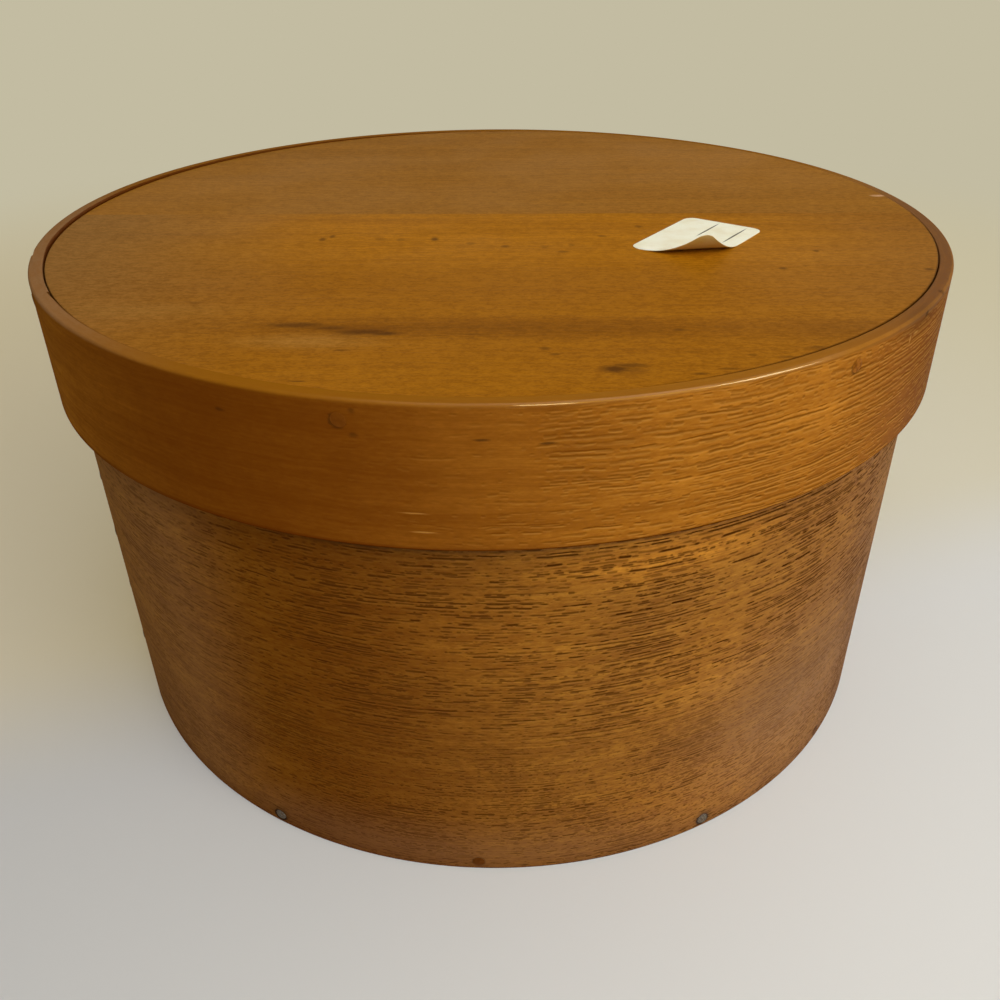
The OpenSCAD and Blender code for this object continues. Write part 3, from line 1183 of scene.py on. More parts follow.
@dataclass(frozen=True)
class OakFinish(Finish):
    """Bent oak under an old varnish: open pores in rows, slow streaks, worn edges and a bare inside.

    A pair of strengths holds a value left of the front and one right of it. `radius` is the band's outer
    radius, `low` and `top` are its edges and `thickness` its wall, all in millimetres. On the flat strip the
    rim follows the outer face, then the inner face, then the foot. Below `short_below` the pores are short
    and faint. Inside, the wood is bare from `bare_from` below the rim, and above that, where a board meets
    it, painted dark as shade. Painted light and shade lie in several places: spots of shade, of a greyish
    reflection and of light, a highlight beside each pore, a sheen and shade on the rim's sides, a darker
    stretch at the foot that is painted shade on the lid, shade under the foot, and pale wear on the right
    arris that also paints its highlight.
    """

    gloss: float = 0.0
    uneven: float = 0.1
    light: Colour = srgb(190, 129, 38)
    dark: Colour = srgb(126, 74, 10)
    pore: Colour = srgb(60, 25, 4)
    # Painted highlight: the pale line that light leaves along the lit side of each pore
    pore_highlight: Colour = srgb(188, 130, 54)
    # Pale wear, laid only on the outer arris at the right, where it also paints the arris's highlight
    worn: Colour = srgb(172, 114, 42)
    rim: Colour = srgb(150, 98, 30)
    # Painted light on the rim: a paler, greyish sheen at the left and shade at the right
    rim_left_sheen: Colour = srgb(148, 110, 72)
    rim_right_shade: Colour = srgb(116, 76, 42)
    rim_back: Colour = srgb(142, 94, 36)
    # Painted shade on the rim's inner wall above a board
    groove: Colour = srgb(98, 48, 12)
    shaded: Colour = srgb(96, 46, 4)
    bare: Colour = srgb(158, 116, 70)
    stain: Colour = srgb(36, 22, 12)
    scratch: Colour = srgb(196, 142, 62)
    # Painted reflection: the greyish veil that a pale surround lays on the varnish
    painted_sheen: Colour = srgb(138, 106, 80)
    # Painted light: a gain above 1 that brightens the colour where the glows lie
    glow: Colour = (1.75, 1.75, 1.6, 1.0)
    row_step: float = 1.35
    dash_length: float = 6.5
    dash_width: float = 0.72
    fullness: Pair = (0.52, 0.56)
    pore_waver: float = 2.0
    pore_strength: Pair = (0.75, 1.0)
    pore_relief: float = 0.9
    pore_rough: float = 0.2
    pore_patchiness: float = 0.25
    short_below: float = -100.0
    # Strengths of the painted highlight beside the pores, and how far up the strip it is shifted
    pore_highlight_strength: Pair = (0.08, 0.3)
    pore_highlight_rise: float = 0.5
    line_length: float = 60.0
    line_width: float = 0.6
    line_strength: Pair = (0.35, 0.35)
    line_relief: float = 0.2
    streak_strength: float = 0.4
    cloud_strength: float = 0.2
    mottle: float = 0.75
    mottle_relief: float = 0.15
    rim_mottle: float = 0.35
    rim_strength: float = 0.9
    dent_relief: float = 5.0
    waver: float = 1.0
    wear: float = 0.25
    polish: float = 0.0
    sheen: Pair = (0.03, 0.28)
    # Darkening of the lowest stretch of the outer face: painted shade along the lid's lower edge, and on the
    # box darker towards the bottom
    foot_darkening: float = 0.0
    foot_darkening_height: float = 9.0
    radius: float = 160.0
    low: float = 0.0
    top: float = 180.0
    thickness: float = 4.5
    bare_from: float = 0.0
    bare_fade: float = 0.6
    bare_strength: float = 0.8
    # Stretch over which painted shade comes onto the underside of the foot
    foot_fade: float = 1.0
    # Sines and cosines of the place round the box between which one look passes into the next
    right_sines: Pair = (-0.42, 0.36)
    front_cosines: Pair = (0.55, 0.92)
    side_cosines: Pair = (0.9, 0.75)
    back_cosines: Pair = (0.0, -0.35)
    dull_cosines: Pair = (-0.6, -0.1)
    polish_cosines: Pair = (0.8, 0.86)
    # Stretches over the strip past the rim's outer edge, and how much wider the rim is at the right
    rim_start: Pair = (-1.4, -0.2)
    rim_spread: float = 1.2
    arris_start: Pair = (-5.0, -2.0)
    arris_end: Pair = (1.6, 2.4)
    # Values of the mesh's edge attribute between which the arris begins
    arris_edge: Pair = (0.55, 0.95)
    # Stretches over the strip past the rim's inner edge
    rim_shade_start: Pair = (-1.0, -0.6)
    wall_start: Pair = (-0.1, 0.2)
    # Strength of the painted shade on the rim beside a board
    rim_shade: float = 0.85
    # Spots that pass into the shaded colour: painted shade, and on the box also a darker stretch towards the
    # bottom
    patches: Spots = ()
    # Spots of that painted reflection, which also hide the pores
    painted_sheens: Spots = ()
    glows: Spots = ()
    stains: Spots = ()
    scratches: Spots = ()
    dents: Spots = ()

    def place(self, graph: Graph) -> OakPlace:
        """Works out where a point of the band lies.

        Args:
            graph: graph to add to.

        Returns:
            Its place and the masks.
        """
        flat = graph.flat()
        along, across, _ = graph.split(flat)
        half_way = math.pi * self.radius
        angle = along / self.radius
        facing = graph.math("COSINE", angle)
        rightness = graph.span(graph.math("SINE", angle), *self.right_sines)
        past_top = across - self.top
        past_inside = past_top - self.thickness
        bare = graph.span(past_inside, self.bare_from - self.bare_fade, self.bare_from + self.bare_fade)
        rubbed = graph.span(facing, *self.side_cosines) * rightness * self.rim_spread + past_top
        return OakPlace(
            flat=flat,
            marked=graph.join(graph.math("WRAP", along, half_way, -half_way), across),
            past_top=past_top,
            past_inside=past_inside,
            facing=facing,
            rightness=rightness,
            frontness=graph.span(facing, *self.front_cosines),
            bare=bare,
            on_rim=graph.span(rubbed, *self.rim_start) * (1.0 - bare),
        )

    def pores(self, graph: Graph, flat: Wire, fullness: Wire) -> Wire:
        """Adds the pores: long dashes, and below `short_below` short ones.

        Args:
            graph: graph to add to.
            flat: place on the flat strip.
            fullness: share of the rows that dashes fill.

        Returns:
            The mask of the pores.
        """
        shared = {
            "Vector": flat,
            "Dash_Width": self.dash_width,
            "Fullness": fullness,
            "Waver": self.pore_waver,
        }
        rows, length = self.row_step, self.dash_length
        long = graph.effect("oak_pores", Row_Step=rows, Dash_Length=length, **shared)["Pores"]
        if self.short_below < self.low:
            return long
        closer, shorter, fainter = 0.8, 0.55, 0.85
        rows, length = rows * closer, length * shorter
        short = graph.effect("oak_pores", Row_Step=rows, Dash_Length=length, **shared)["Pores"]
        fade = 18.0
        upper = graph.span(graph.split(flat)[1], self.short_below - fade, self.short_below + fade)
        return short * (1.0 - upper) * fainter + long * upper

    def between(self, place: OakPlace, pair: Pair) -> Wire:
        """Passes from a pair's left value to its right one."""
        return place.rightness * (pair[1] - pair[0]) + pair[0]

    def rim_colour(self, graph: Graph, place: OakPlace, mottle: Wire) -> Value:
        """The rim's colour: one at each side, one at the front and one at the back, with mottle over all.
        The side colours are painted light: a paler, greyish sheen at the left and shade at the right.

        Args:
            graph: graph to add to.
            place: the point's place.
            mottle: the mottle.

        Returns:
            The colour.
        """
        return graph.layered(
            self.rim_left_sheen,
            (place.rightness, self.rim_right_shade),
            (place.frontness, self.rim),
            (graph.span(place.facing, *self.back_cosines), self.rim_back),
            (mottle * self.rim_mottle, self.dark),
        )

    def arris(self, graph: Graph, place: OakPlace) -> Wire:
        """Marks the rim's outer arris at the right.

        Args:
            graph: graph to add to.
            place: the point's place.

        Returns:
            The mask.
        """
        past = graph.span(place.past_top, *self.arris_start)
        before = graph.span(place.past_top, *self.arris_end, 1.0, 0.0)
        return past * before * place.rightness * graph.span(graph.attribute("edge"), *self.arris_edge)

    def groove_shade_mask(self, graph: Graph, place: OakPlace) -> Value:
        """Marks the groove between the rim and a board with painted shade, and paints shade beside it on the
        rim at the left and the back.

        Args:
            graph: graph to add to.
            place: the point's place.

        Returns:
            The mask, or 0 where no board meets the rim.
        """
        if self.bare_from <= 0:
            return 0.0
        shaded_sides = 1.0 - graph.math("MAXIMUM", place.frontness, place.rightness)
        rim_shade = graph.span(place.past_inside, *self.rim_shade_start, 0.0, self.rim_shade) * shaded_sides
        return graph.math("MAXIMUM", rim_shade, graph.span(place.past_inside, *self.wall_start))

    def paint(self, graph: Graph, shader: bpy.types.Node) -> None:
        """Paints the oak.

        Args:
            graph: graph to add to.
            shader: the shader.
        """
        place = self.place(graph)
        tone = graph.effect(
            "wood_tone",
            Vector=place.flat,
            Streak_Length=170.0,
            Streak_Width=6.0,
            Line_Length=self.line_length,
            Line_Width=self.line_width,
            Waver=self.waver,
            Cloud_Size=30.0,
        )
        patchy = tone["Cloud"] - NOISE_MEAN
        fullness = patchy * self.pore_patchiness + self.between(place, self.fullness)
        # Painted reflection: a greyish veil over the colour, which hides the pores under it
        painted_sheen_mask = spots_mask(graph, place.marked, self.painted_sheens)
        pores = self.pores(graph, place.flat, fullness) * self.between(place, self.pore_strength)
        pores = pores * (1.0 - place.on_rim) * (1.0 - painted_sheen_mask)
        # Painted highlight: the pores again, shifted up the strip, as the lit lower edge of each furrow
        lifted = graph.place(place.flat, (1, 1, 1), shift=(0, self.pore_highlight_rise, 0))
        pore_highlights = self.pores(graph, lifted, fullness) * self.between(place, self.pore_highlight_strength)
        lines = tone["Line"] * self.between(place, self.line_strength)
        colour = graph.layered(
            self.light,
            (tone["Streak"] * self.streak_strength + lines, self.dark),
            (tone["Mottle"] * self.mottle, self.dark),
            (tone["Cloud"] * self.cloud_strength, self.shaded),
            # Painted shade, and on the box darker towards the bottom
            (spots_mask(graph, place.marked, self.patches), self.shaded),
            (painted_sheen_mask, self.painted_sheen),
        )
        # Painted light: the glows brighten the colour as a multiplier
        colour = graph.blend(spots_mask(graph, place.marked, self.glows), colour, self.glow, "MULTIPLY")
        foot = self.low - self.top
        arris = self.arris(graph, place)
        # Rubbed wear on the right arris, which also paints its highlight
        worn = graph.effect("edge_wear", Vector=place.flat, Edge=arris, Amount=self.wear, Grain_Size=9.0)
        colour = graph.layered(
            colour,
            (pore_highlights, self.pore_highlight),
            # Painted shade along the lid's lower edge; on the box, darker towards the bottom
            (graph.span(place.past_top, foot, foot + self.foot_darkening_height, self.foot_darkening, 0.0), self.shaded),
            (place.on_rim * self.rim_strength, self.rim_colour(graph, place, tone["Mottle"])),
            (worn["Wear"], self.worn),
            # Painted shade in the groove and on the rim beside it
            (self.groove_shade_mask(graph, place), self.groove),
            (place.bare * self.bare_strength, self.bare),
            # Painted shade on the underside of the foot
            (graph.span(place.past_inside, -foot - self.foot_fade, -foot), self.shaded),
            (pores, self.pore),
            (spots_mask(graph, place.marked, self.scratches), self.scratch),
            (spots_mask(graph, place.marked, self.stains), self.stain),
        )
        rough = pores * self.pore_rough + patchy * self.uneven + place.bare * BARE_ROUGH + self.roughness
        whole = 1.0 - graph.math("MAXIMUM", place.bare, pores)
        whole = whole * graph.span(place.facing, *self.dull_cosines)
        polished = arris * graph.span(place.facing, *self.polish_cosines, 0.0, self.polish)
        coat = graph.math("MAXIMUM", self.between(place, self.sheen) * whole, polished)
        graph.feed_all(shader, Base_Color=colour, Roughness=rough, Coat_Weight=coat)
        relief = lines * -self.line_relief + tone["Mottle"] * -self.mottle_relief
        relief = relief + pores * -self.pore_relief
        relief = spots_mask(graph, place.marked, self.dents) * -self.dent_relief + relief
        self.bump(graph, shader, relief)


@dataclass(frozen=True)
class BoardFinish(Finish):
    """A smooth board under a honey-brown varnish, with faint grain from side to side and small marks.

    From `shade_from` to `shade_to` across the board its colour passes into the shaded one, and the mottle
    lies over all as the multiplier `deep`. Below `bare_below` the wood is bare. The board's edge is dark
    right of the front, where the gap shows, by `gap_dark` at the left and at the right. The patches paint
    shade with a greyish reflection at the board's ends, and the darker bands also paint shade at one end.
    """

    uneven: float = 0.14
    depth: float = 0.05
    light: Colour = srgb(200, 130, 17)
    dark: Colour = srgb(158, 97, 9)
    shaded: Colour = srgb(160, 100, 16)
    bare: Colour = srgb(184, 138, 86)
    bare_dark: Colour = srgb(126, 84, 44)
    mark: Colour = srgb(74, 40, 6)
    # Painted shade with a greyish painted reflection, for the ends of a board
    patch: Colour = srgb(152, 109, 58)
    # Colour of darker bands across a board, which also paints shade at one end
    darkening_colour: Colour = srgb(134, 80, 8)
    pale: Colour = srgb(182, 133, 66)
    deep: Colour = srgb(212, 206, 172)
    marks: Spots = ()
    patches: Spots = ()
    darkenings: Spots = ()
    pales: Spots = ()
    line_strength: float = 0.3
    line_relief: float = 0.5
    streak_strength: float = 0.5
    cloud_strength: float = 0.2
    fleck_strength: float = 0.45
    fleck_relief: float = 0.6
    shade_from: float = 0.0
    shade_to: float = -400.0
    shade: float = 0.0
    shade_waver: float = 16.0
    gap_from: float = 30.0
    gap_to: float = 70.0
    gap_dark: Pair = (0.1, 0.9)
    bare_below: float = -1.0
    bare_fade: float = 1.0
    bare_strength: float = 0.85

    def paint(self, graph: Graph, shader: bpy.types.Node) -> None:
        """Paints the board.

        Args:
            graph: graph to add to.
            shader: the shader.
        """
        solid = graph.solid(turn=-JOINT_TURN)
        along, across, height = graph.split(solid)
        tone = graph.effect(
            "wood_tone",
            Vector=solid,
            Streak_Length=260.0,
            Streak_Width=9.0,
            Line_Length=90.0,
            Line_Width=1.1,
            Waver=4.0,
            Cloud_Size=70.0,
            Mottle_Length=1.1,
            Mottle_Width=0.5,
        )
        grain = tone["Line"] * self.line_strength + tone["Streak"] * self.streak_strength
        wander = (tone["Streak"] - NOISE_MEAN) * self.shade_waver + across
        colour = graph.layered(
            self.light,
            (grain, self.dark),
            (graph.span(wander, self.shade_from, self.shade_to, 0.0, self.shade), self.shaded),
            (tone["Cloud"] * self.cloud_strength, self.shaded),
            (spots_mask(graph, solid, self.darkenings), self.darkening_colour),
            (spots_mask(graph, solid, self.patches), self.patch),
            (spots_mask(graph, solid, self.pales), self.pale),
        )
        colour = graph.blend(tone["Mottle"], colour, self.deep, "MULTIPLY")
        flecks = graph.effect(
            "oak_pores", Vector=solid, Row_Step=5.0, Dash_Length=6.0, Dash_Width=0.6, Fullness=0.12
        )["Pores"]
        bare_end = self.bare_below + self.bare_fade
        bare = graph.span(height, self.bare_below, bare_end, self.bare_strength, 0.0)
        gap = graph.span(along, self.gap_from, self.gap_to, *self.gap_dark)
        colour = graph.layered(
            colour,
            (bare, graph.blend(grain, self.bare, self.bare_dark)),
            (flecks * self.fleck_strength, self.mark),
            (spots_mask(graph, solid, self.marks), self.mark),
            (graph.attribute("edge") * gap, self.mark),
        )
        rough = (tone["Cloud"] - NOISE_MEAN) * self.uneven + bare * BARE_ROUGH + self.roughness
        graph.feed_all(shader, Base_Color=colour, Roughness=rough)
        self.bump(graph, shader, flecks * -self.fleck_relief + tone["Line"] * self.line_relief)


@dataclass(frozen=True)
class PegFinish(Finish):
    """End grain of a peg, with painted shade left of the front."""

    depth: float = 0.06
    light: Colour = srgb(158, 96, 26)
    dark: Colour = srgb(118, 66, 12)
    shaded: Colour = srgb(110, 58, 10)
    shade: float = 0.8
    shade_from: float = 40.0
    shade_to: float = -40.0

    def paint(self, graph: Graph, shader: bpy.types.Node) -> None:
        """Paints the end grain.

        Args:
            graph: graph to add to.
            shader: the shader.
        """
        solid = graph.solid()
        speck = graph.noise(solid, scale=0.7, detail=3.0, roughness=0.55)
        # Painted shade left of the front
        left = graph.span(graph.split(solid)[0], self.shade_from, self.shade_to, 0.0, self.shade)
        darker = graph.span(speck, *PATTERN_RANGE)
        colour = graph.layered(self.light, (darker, self.dark), (left, self.shaded))
        rough = (speck - NOISE_MEAN) * self.uneven + self.roughness
        graph.feed_all(shader, Base_Color=colour, Roughness=rough)
        self.bump(graph, shader, speck)


@dataclass(frozen=True)
class IronFinish(Finish):
    """Dull iron with a little rust."""

    light: Colour = srgb(150, 136, 122)
    dark: Colour = srgb(92, 80, 70)
    rust: Colour = srgb(92, 56, 30)
    rust_range: Pair = (0.52, 0.7)
    rust_strength: float = 0.8
    metal_range: Pair = (0.45, 0.65)
    metal: Pair = (0.4, 0.05)

    def paint(self, graph: Graph, shader: bpy.types.Node) -> None:
        """Paints the iron.

        Args:
            graph: graph to add to.
            shader: the shader.
        """
        solid = graph.solid()
        patch = graph.noise(solid, scale=0.7, detail=4.0, roughness=0.7)
        speck = graph.noise(solid, scale=3.5, detail=3.0)
        colour = graph.layered(
            self.light,
            (graph.span(speck, *PATTERN_RANGE), self.dark),
            (graph.span(patch, *self.rust_range, 0.0, self.rust_strength), self.rust),
        )
        bright = graph.span(patch, *self.metal_range, *self.metal)
        rough = speck * self.uneven + self.roughness
        graph.feed_all(shader, Base_Color=colour, Metallic=bright, Roughness=rough)
        self.bump(graph, shader, speck)


@dataclass(frozen=True)
class PaperFinish(Finish):
    """Cream paper with fine fibres, a yellowed edge, two thin printed rules and a browned underside,
    whose olive tint is partly a painted reflection of the board.
    """

    uneven: float = 0.2
    depth: float = 0.03
    light: Colour = srgb(255, 252, 228)
    aged: Colour = srgb(242, 230, 192)
    # Browned underside, its olive tint partly a painted reflection of the board under it
    under: Colour = srgb(212, 184, 100)
    ink: Colour = srgb(70, 60, 40)
    fibres_per_mm: tuple[float, float, float] = (1.0, 2.6, 1.0)
    aged_range: Pair = (0.35, 0.75)
    patch_strength: float = 0.6
    fibre_strength: float = 0.25
    under_strength: float = 0.25
    rules: Spots = spots(
        (11.2, 1.5, 10.5, 0.42, 0.9, 0.4, 0.1), (10.0, -9.4, 11.5, 0.42, 0.9, 0.4, 0.1)
    )

    def paint(self, graph: Graph, shader: bpy.types.Node) -> None:
        """Paints the paper.

        Args:
            graph: graph to add to.
            shader: the shader.
        """
        flat = graph.flat()
        fibre = graph.noise(graph.place(flat, self.fibres_per_mm), detail=5.0, roughness=0.7)
        patch = graph.noise(flat, scale=0.12, detail=3.0)
        paler = graph.span(patch, *PATTERN_RANGE, 0.0, self.under_strength)
        colour = graph.layered(
            self.light,
            (graph.span(patch, *self.aged_range, 0.0, self.patch_strength), self.aged),
            (graph.span(fibre, *self.aged_range, 0.0, self.fibre_strength), self.aged),
            (spots_mask(graph, flat, self.rules), self.ink),
            (graph.attribute("underside"), graph.blend(paler, self.under, self.aged)),
        )
        graph.feed_all(shader, Base_Color=colour, Roughness=fibre * self.uneven + self.roughness)
        self.bump(graph, shader, fibre)


@cache
def material_of(finish: Finish) -> bpy.types.Material:
    """The finish's material, made once."""
    return finish.material()


def dress(piece: bpy.types.Object, finish: Finish, body: Body, node: str) -> None:
    """Gives a piece its finish and its place in the assembly.

    Args:
        piece: the piece.
        finish: its finish.
        body: the body that it rides on.
        node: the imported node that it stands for.
    """
    piece.data.materials.append(material_of(finish))
    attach(piece, body.value)
    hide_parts(node)
    log.info("%s: %d faces, rides on %s", piece.name, len(piece.data.polygons), body.value)


TACK = Pin(
    head_radius=2.7 * MM,
    head_height=0.8 * MM,
    crown=0.55 * MM,
    shank_radius=0.8 * MM,
    length=11.2 * MM,
    tip=2.5 * MM,
    tip_radius=0.25 * MM,
    bend_radius=0.9 * MM,
    unevenness=0.05,
)

PEG = Pin(
    head_radius=2.1 * MM,
    head_height=0.3 * MM,
    crown=0.16 * MM,
    shank_radius=2.1 * MM,
    length=21 * MM,
    tip=1 * MM,
    tip_radius=1.6 * MM,
    unevenness=0.03,
)

NAIL = Pin(
    head_radius=2.5 * MM,
    head_height=0.9 * MM,
    crown=0.6 * MM,
    shank_radius=1 * MM,
    length=23.7 * MM,
    tip=4 * MM,
    tip_radius=0.25 * MM,
    unevenness=0.06,
)

# How far a peg's sides and the seat of a nail's head lie below the band's face
PEG_SINK = 0.15 * MM
NAIL_SINK = 0.6 * MM
# Distance of a row of tacks from the end of its lap, and of their turned points from the inner face
TACK_INSET = 12 * MM
CLINCH_GAP = 0.3 * MM

TACK_IRON = IronFinish("tack_dull_iron", Slot.TACK_IRON, roughness=0.5, light=srgb(120, 108, 96))
NAIL_IRON = IronFinish(
    "nail_dull_iron", Slot.NAIL_IRON, roughness=0.5, light=srgb(134, 124, 112), dark=srgb(72, 64, 56)
)


def pin_marks(
    pin: Pin,
    strip: Strip,
    places: Array,
    heights: Array,
    ring: float,
    strength: float,
    shift: Pair = (0.0, 0.0),
) -> Spots:
    """A dark ring round each pin's head on the flat strip, within half a turn of the front.

    Args:
        pin: the pin.
        strip: the strip that it is in.
        places: place of each pin.
        heights: height of each pin.
        ring: width of the ring in millimetres.
        strength: strength of the mark.
        shift: shift of the mark along and across the strip, in millimetres.

    Returns:
        A spot for each pin.
    """
    half = pin.head_radius / MM + ring
    turned = (places + math.pi) % TURN - math.pi
    along = turned * strip.outer / MM + shift[0]
    across = heights / MM + shift[1]
    softest, spread = 0.9, 1.6
    softness = min(softest, spread * ring / half)
    return tuple(Spot(float(x), float(y), half, half, strength, softness) for x, y in zip(along, across))


def tack_row(strip: Strip, low: float, high: float, count: int) -> tuple[Array, Array]:
    """Places and heights of the tacks in a lap, spread evenly between two heights.

    Args:
        strip: the lapped strip.
        low: lowest height.
        high: highest height.
        count: number of tacks.

    Returns:
        The places and the heights.
    """
    place = strip.lap.end + TACK_INSET / ((strip.inner + strip.outer) / 2)
    heights = low + (high - low) * (np.arange(count) + 0.5) / count
    return np.full(count, place), heights


def clinched(strip: Strip) -> Pin:
    """The tack for a strip, with its point turned down just inside the inner face."""
    through = TACK.head_height + strip.outer - strip.inner
    return replace(TACK, bend_depth=through - TACK.bend_radius - CLINCH_GAP)


@dataclass
class BoxBody:
    """The box itself: the tall band, the bottom board, and the pins and tacks that hold them."""

    band: RoundNode = field(default_factory=lambda: RoundNode.of("body_band"))
    board: RoundNode = field(default_factory=lambda: RoundNode.of("bottom_board"))
    lid_edge: float = field(default_factory=lambda: RoundNode.of("lid_band").low)
    edge_round: float = 0.9 * MM
    board_round: float = 0.6 * MM
    tack_count: int = 5
    pin_places: tuple[float, ...] = (-61, -29.4, -2.6, 26.6, 50.5, 82, 113, 144, 175, 206, 237, 268)
    low_bulge: Waves = Waves(((0, 1.5, 0), (1, 1.1, 90), (2, 0.5, 180)))
    high_bulge: Waves = Waves(((1, 0.3, 90),))
    parts: dict[str, bpy.types.Object] = field(default_factory=dict)

    @property
    def strip(self) -> Strip:
        """The bent strip."""
        return Strip(
            self.board.radius + BOARD_GAP,
            self.band.radius,
            self.band.low,
            self.band.high,
            self.edge_round,
            self.edge_round,
            Lap(),
            low_bulge=self.low_bulge,
            high_bulge=self.high_bulge,
        )

    @property
    def pins(self) -> tuple[Array, Array]:
        """Places and heights of the pegs and nails, half way up the bottom board."""
        places = np.radians(self.pin_places)
        return places, np.full(places.size, (self.board.low + self.board.high) / 2)

    def build(self) -> None:
        """Builds the meshes of the band, the board, the pegs, the nails and the tacks."""
        strip = self.strip
        self.parts["band"] = strip.build("body_oak_band")
        board = RoundBoard(self.board, self.board_round, bulge=self.low_bulge)
        self.parts["board"] = board.build("bottom_disc")
        places, heights = self.pins
        seats = strip.outer + strip.bulge(places, heights)
        even, odd = slice(0, None, 2), slice(1, None, 2)
        self.parts["pegs"] = PEG.build(
            "base_peg_ring", seats[even] - PEG_SINK, places[even], heights[even], seed=11
        )
        self.parts["nails"] = NAIL.build(
            "base_nail_ring", seats[odd] - NAIL_SINK, places[odd], heights[odd], seed=12
        )
        places, heights = tack_row(strip, self.board.high, self.lid_edge, self.tack_count)
        seats = strip.outer + strip.bulge(places, heights)
        self.parts["tacks"] = clinched(strip).build("body_lap_tacks", seats, places, heights, seed=13)

    def oak(self) -> OakFinish:
        """The band's finish, with a dark stain round every nail and peg.

        Returns:
            The finish.
        """
        places, heights = self.pins
        pegs = pin_marks(PEG, self.strip, places[0::2], heights[0::2], 0.5, 0.6)
        nails = pin_marks(NAIL, self.strip, places[1::2], heights[1::2], 0.6, 0.95)
        halos = pin_marks(NAIL, self.strip, places[1::2], heights[1::2], 2.6, 0.45, (0.6, 0.8))
        below_lid = self.lid_edge / MM - 3.4
        # Painted shadow: a dark line just below the lid's edge, stronger left of the front
        lid_shadow_line = spots(
            (-48.0, below_lid, 80.0, 2.6, 0.6, 0.9, 0.9), (0.0, below_lid, 2000.0, 1.6, 0.3, 0.9, 0.9),
        )
        return OakFinish(
            "body_oak_varnish",
            Slot.BODY_OAK,
            roughness=0.5,
            coat_roughness=0.3,
            short_below=58.0,
            # Darker towards the bottom
            foot_darkening=0.3,
            radius=self.band.radius / MM,
            top=self.band.high / MM,
            # Painted shade left and right of the front; the low band along the whole strip makes it darker
            # towards the bottom
            patches=spots(
                (-52.0, 80.0, 90.0, 900.0, 0.68, 1.0, 0.1), (0.0, 16.0, 900.0, 56.0, 0.24, 1.0, 0.2),
                (170.0, 80.0, 70.0, 900.0, 0.3, 1.0, 0.1),
            ),
            # Painted reflection: a greyish veil at the far left, along the foot and low at the right
            painted_sheens=spots(
                (-175.0, 80.0, 97.0, 900.0, 0.3, 0.4, 0.1), (-30.0, 6.0, 180.0, 24.0, 0.24, 1.0, 0.2),
                (108.0, 40.0, 66.0, 62.0, 0.42, 1.0, 0.2),
            ),
            # Painted light: a lift just below the lid's edge right of the front, over the front and low at
            # the right
            glows=spots(
                (50.0, 127.0, 56.0, 13.0, 0.8, 1.0, 0.3), (0.0, 104.0, 46.0, 26.0, 0.22, 1.0, 0.3),
                (68.0, 72.0, 44.0, 40.0, 0.24, 1.0, 0.2), (88.0, 20.0, 80.0, 36.0, 0.5, 1.0, 0.2),
            ),
            # Dark marks round the pins, with the painted shadow below the lid
            stains=pegs + nails + halos + lid_shadow_line,
            dents=nails,
        )

    def dress(self) -> None:
        """Dresses every piece."""
        board = BoardFinish(
            "bottom_board_bare",
            Slot.BOTTOM_PINE,
            roughness=0.6,
            light=srgb(184, 134, 76),
            dark=srgb(154, 108, 56),
            bare_below=400.0,
        )
        peg = PegFinish("base_peg_end_grain", Slot.PEG_WOOD, light=srgb(110, 64, 22), dark=srgb(74, 40, 12))
        dress(self.parts["band"], self.oak(), Body.BOX, "body_band")
        dress(self.parts["board"], board, Body.BOX, "bottom_board")
        dress(self.parts["pegs"], peg, Body.BOX, "bottom_pegs")
        dress(self.parts["nails"], NAIL_IRON, Body.BOX, "bottom_nails")
        dress(self.parts["tacks"], TACK_IRON, Body.BOX, "body_seam_tacks")


